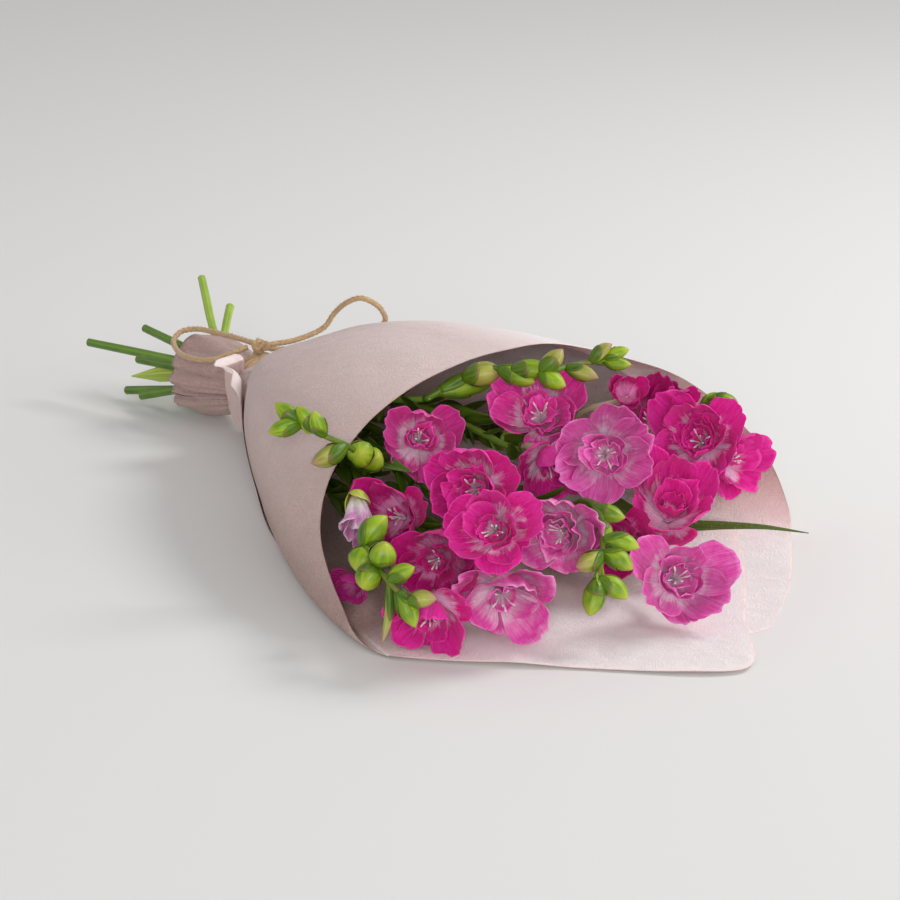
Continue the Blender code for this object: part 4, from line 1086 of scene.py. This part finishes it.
def build_leaves(settings):
    """Blades of parallel veins, folded a little along the middle, that end in a point."""
    blade = leaf_material("leaf_dark", (0.04, 0.10, 0.010), (0.11, 0.21, 0.025), 0.5)
    sheath = leaf_material("leaf_sheath_green", (0.24, 0.36, 0.04), (0.52, 0.62, 0.13), 0.1)
    for name, (stem, share, points, half) in LEAVES.items():
        start, away = seat(stem, share, points[0])
        path = smooth(smooth([start + away * 0.7, *points], 12), 70)
        t = np.linspace(0, 1, len(path))
        wide = half * np.clip(0.25 + 2.2 * t, 0, 1) * np.clip(2.6 * (1 - t) + 0.04, 0, 1)
        wide = wide * settings.leaf_spread
        tangent = frames(path)[0]
        across = unit(np.cross(tangent, TO_VIEW + (0.0, 0.0, 0.5)))
        up = np.cross(across, tangent)
        u = np.linspace(-1, 1, 13)
        fold = settings.leaf_fold * wide[:, None] * (np.abs(u)[None] - 0.5)
        grid = (path[:, None] + (wide[:, None] * u[None])[:, :, None] * across[:, None]
                + fold[:, :, None] * up[:, None])
        surface = Surface()
        surface.add(grid, 0, 0.5)
        skin = sheath if name == "leaf_sheath" else blade
        surface.build(name + "_fine", [skin], settings.leaf_thickness, [name])


def leaf_material(name, dark, light, speckle):
    """A leaf: parallel veins along it, and tiny pale specks."""
    material, tree, shader = surface_material(name, 0.42, 0.5, 0.0, 0.1)
    uv = node(tree, "ShaderNodeUVMap", uv_map="UVMap").outputs["UV"]
    place = node(tree, "ShaderNodeTexCoord").outputs["Object"]
    veins = noise(tree, stretched(tree, uv, (30, 0.6, 1)), 1.0, 2)
    body = mix(tree, ramp(tree, veins, [(0.35, 0.0), (0.65, 1.0)]), dark, light)
    specks = noise(tree, place, 1300, 1)
    body = mix(tree, ramp(tree, specks, [(0.66, 0.0), (0.72, speckle)]), body, (0.6, 0.65, 0.5))
    tree.links.new(body, shader.inputs["Base Color"])
    bump(tree, shader, veins, 0.4, 0.2)
    return material


# ---------------------------------------------------------------- the stage

CAMERA_AT = np.array([1414.5, -1036.8, 565.0])
LOOKS_ALONG = (-0.728, 0.611, -0.312)
CAMERA_LENS = 124.3
# Each lamp: its place, its diameter, and its power as a share of the key lamp's. The two big
# ones stand far off, so that the floor near them isn't lit more strongly than the bunch.
LAMPS = (("key_lamp", (620, 1250, 1400), 700, 1.0),
         ("side_lamp", (3780, 1080, 905), 2750, 3.1),
         ("front_lamp", (3918, -3173, 1680), 1500, 7.2))
LAMPS_AIM_AT = (230, -20, 30)
FLOOR_REACH = 9.0            # half a side of the floor, in metres


def flat_material(name, colour, roughness):
    """One even colour with no gloss at all."""
    material = bpy.data.materials.new(name)
    material.use_nodes = True
    shader = material.node_tree.nodes["Principled BSDF"]
    shader.inputs["Base Color"].default_value = (*colour, 1.0)
    shader.inputs["Roughness"].default_value = roughness
    shader.inputs["Specular IOR Level"].default_value = 0.0
    return material


def build_stage(settings):
    """A pale floor in a grey studio, three soft lamps and the camera."""
    mesh = bpy.data.meshes.new("floor")
    floor = FLOOR_REACH * np.array([[-1, -1, 0], [1, -1, 0], [1, 1, 0], [-1, 1, 0]], float)
    mesh.from_pydata(floor.tolist(), [], [(0, 1, 2, 3)])
    mesh.materials.append(flat_material("floor_pale", settings.floor_colour, 0.65))
    ground = bpy.data.objects.new("floor", mesh)
    bpy.context.scene.collection.objects.link(ground)

    world = bpy.data.worlds.new("studio")
    world.use_nodes = True
    tree = world.node_tree
    back = tree.nodes["Background"]
    back.inputs["Color"].default_value = (*settings.backdrop_colour, 1.0)
    back.inputs["Strength"].default_value = settings.fill
    bpy.context.scene.world = world

    for name, place, size, share in LAMPS:
        light = bpy.data.lights.new(name, "AREA")
        light.shape = "DISK"
        light.size = size * MM
        light.energy = settings.key_power * share
        lamp = bpy.data.objects.new(name, light)
        lamp.location = to_world(np.array(place, float))
        aim = Vector(to_world(LAMPS_AIM_AT)) - lamp.location
        lamp.rotation_euler = aim.to_track_quat("-Z", "Y").to_euler()
        bpy.context.scene.collection.objects.link(lamp)

    lens = bpy.data.cameras.new("camera")
    lens.lens = CAMERA_LENS
    lens.sensor_width = 36.0
    lens.clip_end = 50.0
    camera = bpy.data.objects.new("camera", lens)
    camera.location = to_world(CAMERA_AT)
    camera.rotation_euler = Vector(LOOKS_ALONG).to_track_quat("-Z", "Y").to_euler()
    bpy.context.scene.collection.objects.link(camera)
    bpy.context.scene.camera = camera
    bpy.context.scene.view_settings.view_transform = "Standard"


# ---------------------------------------------------------------- the add-on

class FreesiaWrapSettings(bpy.types.PropertyGroup):
    sheet_thickness: FloatProperty(name="Sheet thickness",
                                   description="Thickness of the sheet in millimetres",
                                   default=0.3, min=0.1, max=0.8)
    gather_depth: FloatProperty(name="Gathers", description="Depth of the pleats at the tie in millimetres",
                                default=0.9, min=0.0, max=1.5)
    bulge: FloatProperty(name="Bulge",
                         description="How far the cloth stands out just past the tie, in millimetres",
                         default=8.0, min=0.0, max=9.0)
    fold_depth: FloatProperty(name="Folds", description="Depth of the broad folds in millimetres",
                              default=0.9, min=0.0, max=3.0)


class FreesiaTwineSettings(bpy.types.PropertyGroup):
    hairs: IntProperty(name="Hairs",
                       description="Loose hairs on the turns of twine", default=260, min=0, max=1000)


class FreesiaBloomSettings(bpy.types.PropertyGroup):
    petal_overhang: FloatProperty(name="Petal overhang",
                                  description="How far petals reach past their cup, in mm",
                                  default=3.4, min=0.0, max=5.0)
    petal_thickness: FloatProperty(name="Petal thickness", description="Thickness of a petal in millimetres",
                                   default=0.3, min=0.1, max=0.6)


class FreesiaGreenSettings(bpy.types.PropertyGroup):
    bract_thickness: FloatProperty(name="Bract thickness",
                                   description="Thickness of the bracts in millimetres",
                                   default=0.2, min=0.1, max=0.6)
    stem_bracts: IntProperty(name="Bracts",
                             description="Bracts along each flowering stem", default=17, min=0, max=20)
    tip_bracts: IntProperty(name="Tip bracts",
                            description="Small bracts crowded at the end of each bud spray",
                            default=5, min=0, max=9)
    leaf_thickness: FloatProperty(name="Leaf thickness", description="Thickness of the leaves in millimetres",
                                  default=0.5, min=0.2, max=1.0)
    leaf_fold: FloatProperty(name="Leaf fold", description="How sharply a leaf folds along its middle",
                             default=0.35, min=0.0, max=1.0, subtype="FACTOR")
    bud_growth: FloatProperty(name="Bud growth", description="Size of a bud as a share of its CAD bud",
                              default=1.13, min=0.8, max=1.2)
    leaf_spread: FloatProperty(name="Leaf spread", description="Width of a leaf as a share of its CAD leaf",
                               default=1.2, min=0.5, max=1.5)


class FreesiaStageSettings(bpy.types.PropertyGroup):
    floor_colour: FloatVectorProperty(name="Floor colour", description="Colour of the pale floor",
                                      default=(0.76, 0.75, 0.73), min=0.0, max=1.0, subtype="COLOR")
    backdrop_colour: FloatVectorProperty(name="Backdrop colour",
                                         description="Colour of the studio round the bunch",
                                         default=(0.62, 0.62, 0.63), min=0.0, max=1.0, subtype="COLOR")
    fill: FloatProperty(name="Fill",
                        description="Strength of the light from all round", default=0.80, min=0.0, max=2.0)
    key_power: FloatProperty(name="Key lamp", description="Power of the main lamp", default=16.0, min=0.0,
                             unit="POWER")


class FREESIA_OT_wrap(bpy.types.Operator):
    """Roll and gather the wrapping sheet"""
    bl_idname = "freesia.wrap"
    bl_label = "Wrap"

    def execute(self, context):
        build_wrap(context.scene.freesia_wrap)
        return {"FINISHED"}


class FREESIA_OT_twine(bpy.types.Operator):
    """Tie the twine round the neck and knot its bow"""
    bl_idname = "freesia.twine"
    bl_label = "Twine"

    def execute(self, context):
        build_twine(context.scene.freesia_twine)
        return {"FINISHED"}


class FREESIA_OT_stems(bpy.types.Operator):
    """Grow the stems"""
    bl_idname = "freesia.stems"
    bl_label = "Stems"

    def execute(self, context):
        build_stems(context.scene.freesia_green)
        return {"FINISHED"}


class FREESIA_OT_blooms(bpy.types.Operator):
    """Open the blooms, petal by petal"""
    bl_idname = "freesia.blooms"
    bl_label = "Blooms"

    def execute(self, context):
        looks = bloom_looks()
        for name in BLOOMS:
            build_bloom(name, context.scene.freesia_bloom, looks)
        return {"FINISHED"}


class FREESIA_OT_sprays(bpy.types.Operator):
    """Set the closed buds on their stalks"""
    bl_idname = "freesia.sprays"
    bl_label = "Bud sprays"

    def execute(self, context):
        build_sprays(context.scene.freesia_green)
        return {"FINISHED"}


class FREESIA_OT_leaves(bpy.types.Operator):
    """Add the leaves and the sheath"""
    bl_idname = "freesia.leaves"
    bl_label = "Leaves"

    def execute(self, context):
        build_leaves(context.scene.freesia_green)
        return {"FINISHED"}


class FREESIA_OT_stage(bpy.types.Operator):
    """Set up the floor, the lamps and the camera"""
    bl_idname = "freesia.stage"
    bl_label = "Stage"

    def execute(self, context):
        build_stage(context.scene.freesia_stage)
        return {"FINISHED"}


class FREESIA_PT_bunch(bpy.types.Panel):
    """The bunch's sizes, colours and builders"""
    bl_idname = "FREESIA_PT_bunch"
    bl_label = "Freesia bunch"
    bl_space_type = "VIEW_3D"
    bl_region_type = "UI"
    bl_category = "Freesia"

    def draw(self, context):
        for group in SETTINGS:
            settings = getattr(context.scene, group)
            for key in settings.bl_rna.properties.keys():
                if key not in ("rna_type", "name"):
                    self.layout.prop(settings, key)
        for operator in OPERATORS:
            self.layout.operator(operator.bl_idname)


OPERATORS = (FREESIA_OT_stage, FREESIA_OT_twine, FREESIA_OT_wrap, FREESIA_OT_stems, FREESIA_OT_leaves,
             FREESIA_OT_sprays, FREESIA_OT_blooms)
SETTINGS = {
    "freesia_wrap": FreesiaWrapSettings,
    "freesia_twine": FreesiaTwineSettings,
    "freesia_bloom": FreesiaBloomSettings,
    "freesia_green": FreesiaGreenSettings,
    "freesia_stage": FreesiaStageSettings,
}


def register():
    for group in (*SETTINGS.values(), *OPERATORS, FREESIA_PT_bunch):
        bpy.utils.register_class(group)
    for name, group in SETTINGS.items():
        setattr(bpy.types.Scene, name, PointerProperty(type=group))


def unregister():
    for name in SETTINGS:
        delattr(bpy.types.Scene, name)
    for group in reversed((*SETTINGS.values(), *OPERATORS, FREESIA_PT_bunch)):
        bpy.utils.unregister_class(group)


def main():
    """Builds everything in order."""
    register()
    bpy.ops.freesia.stage()
    bpy.ops.freesia.twine()
    bpy.ops.freesia.wrap()
    bpy.ops.freesia.stems()
    bpy.ops.freesia.leaves()
    bpy.ops.freesia.sprays()
    bpy.ops.freesia.blooms()


if __name__ == "__main__":
    main()
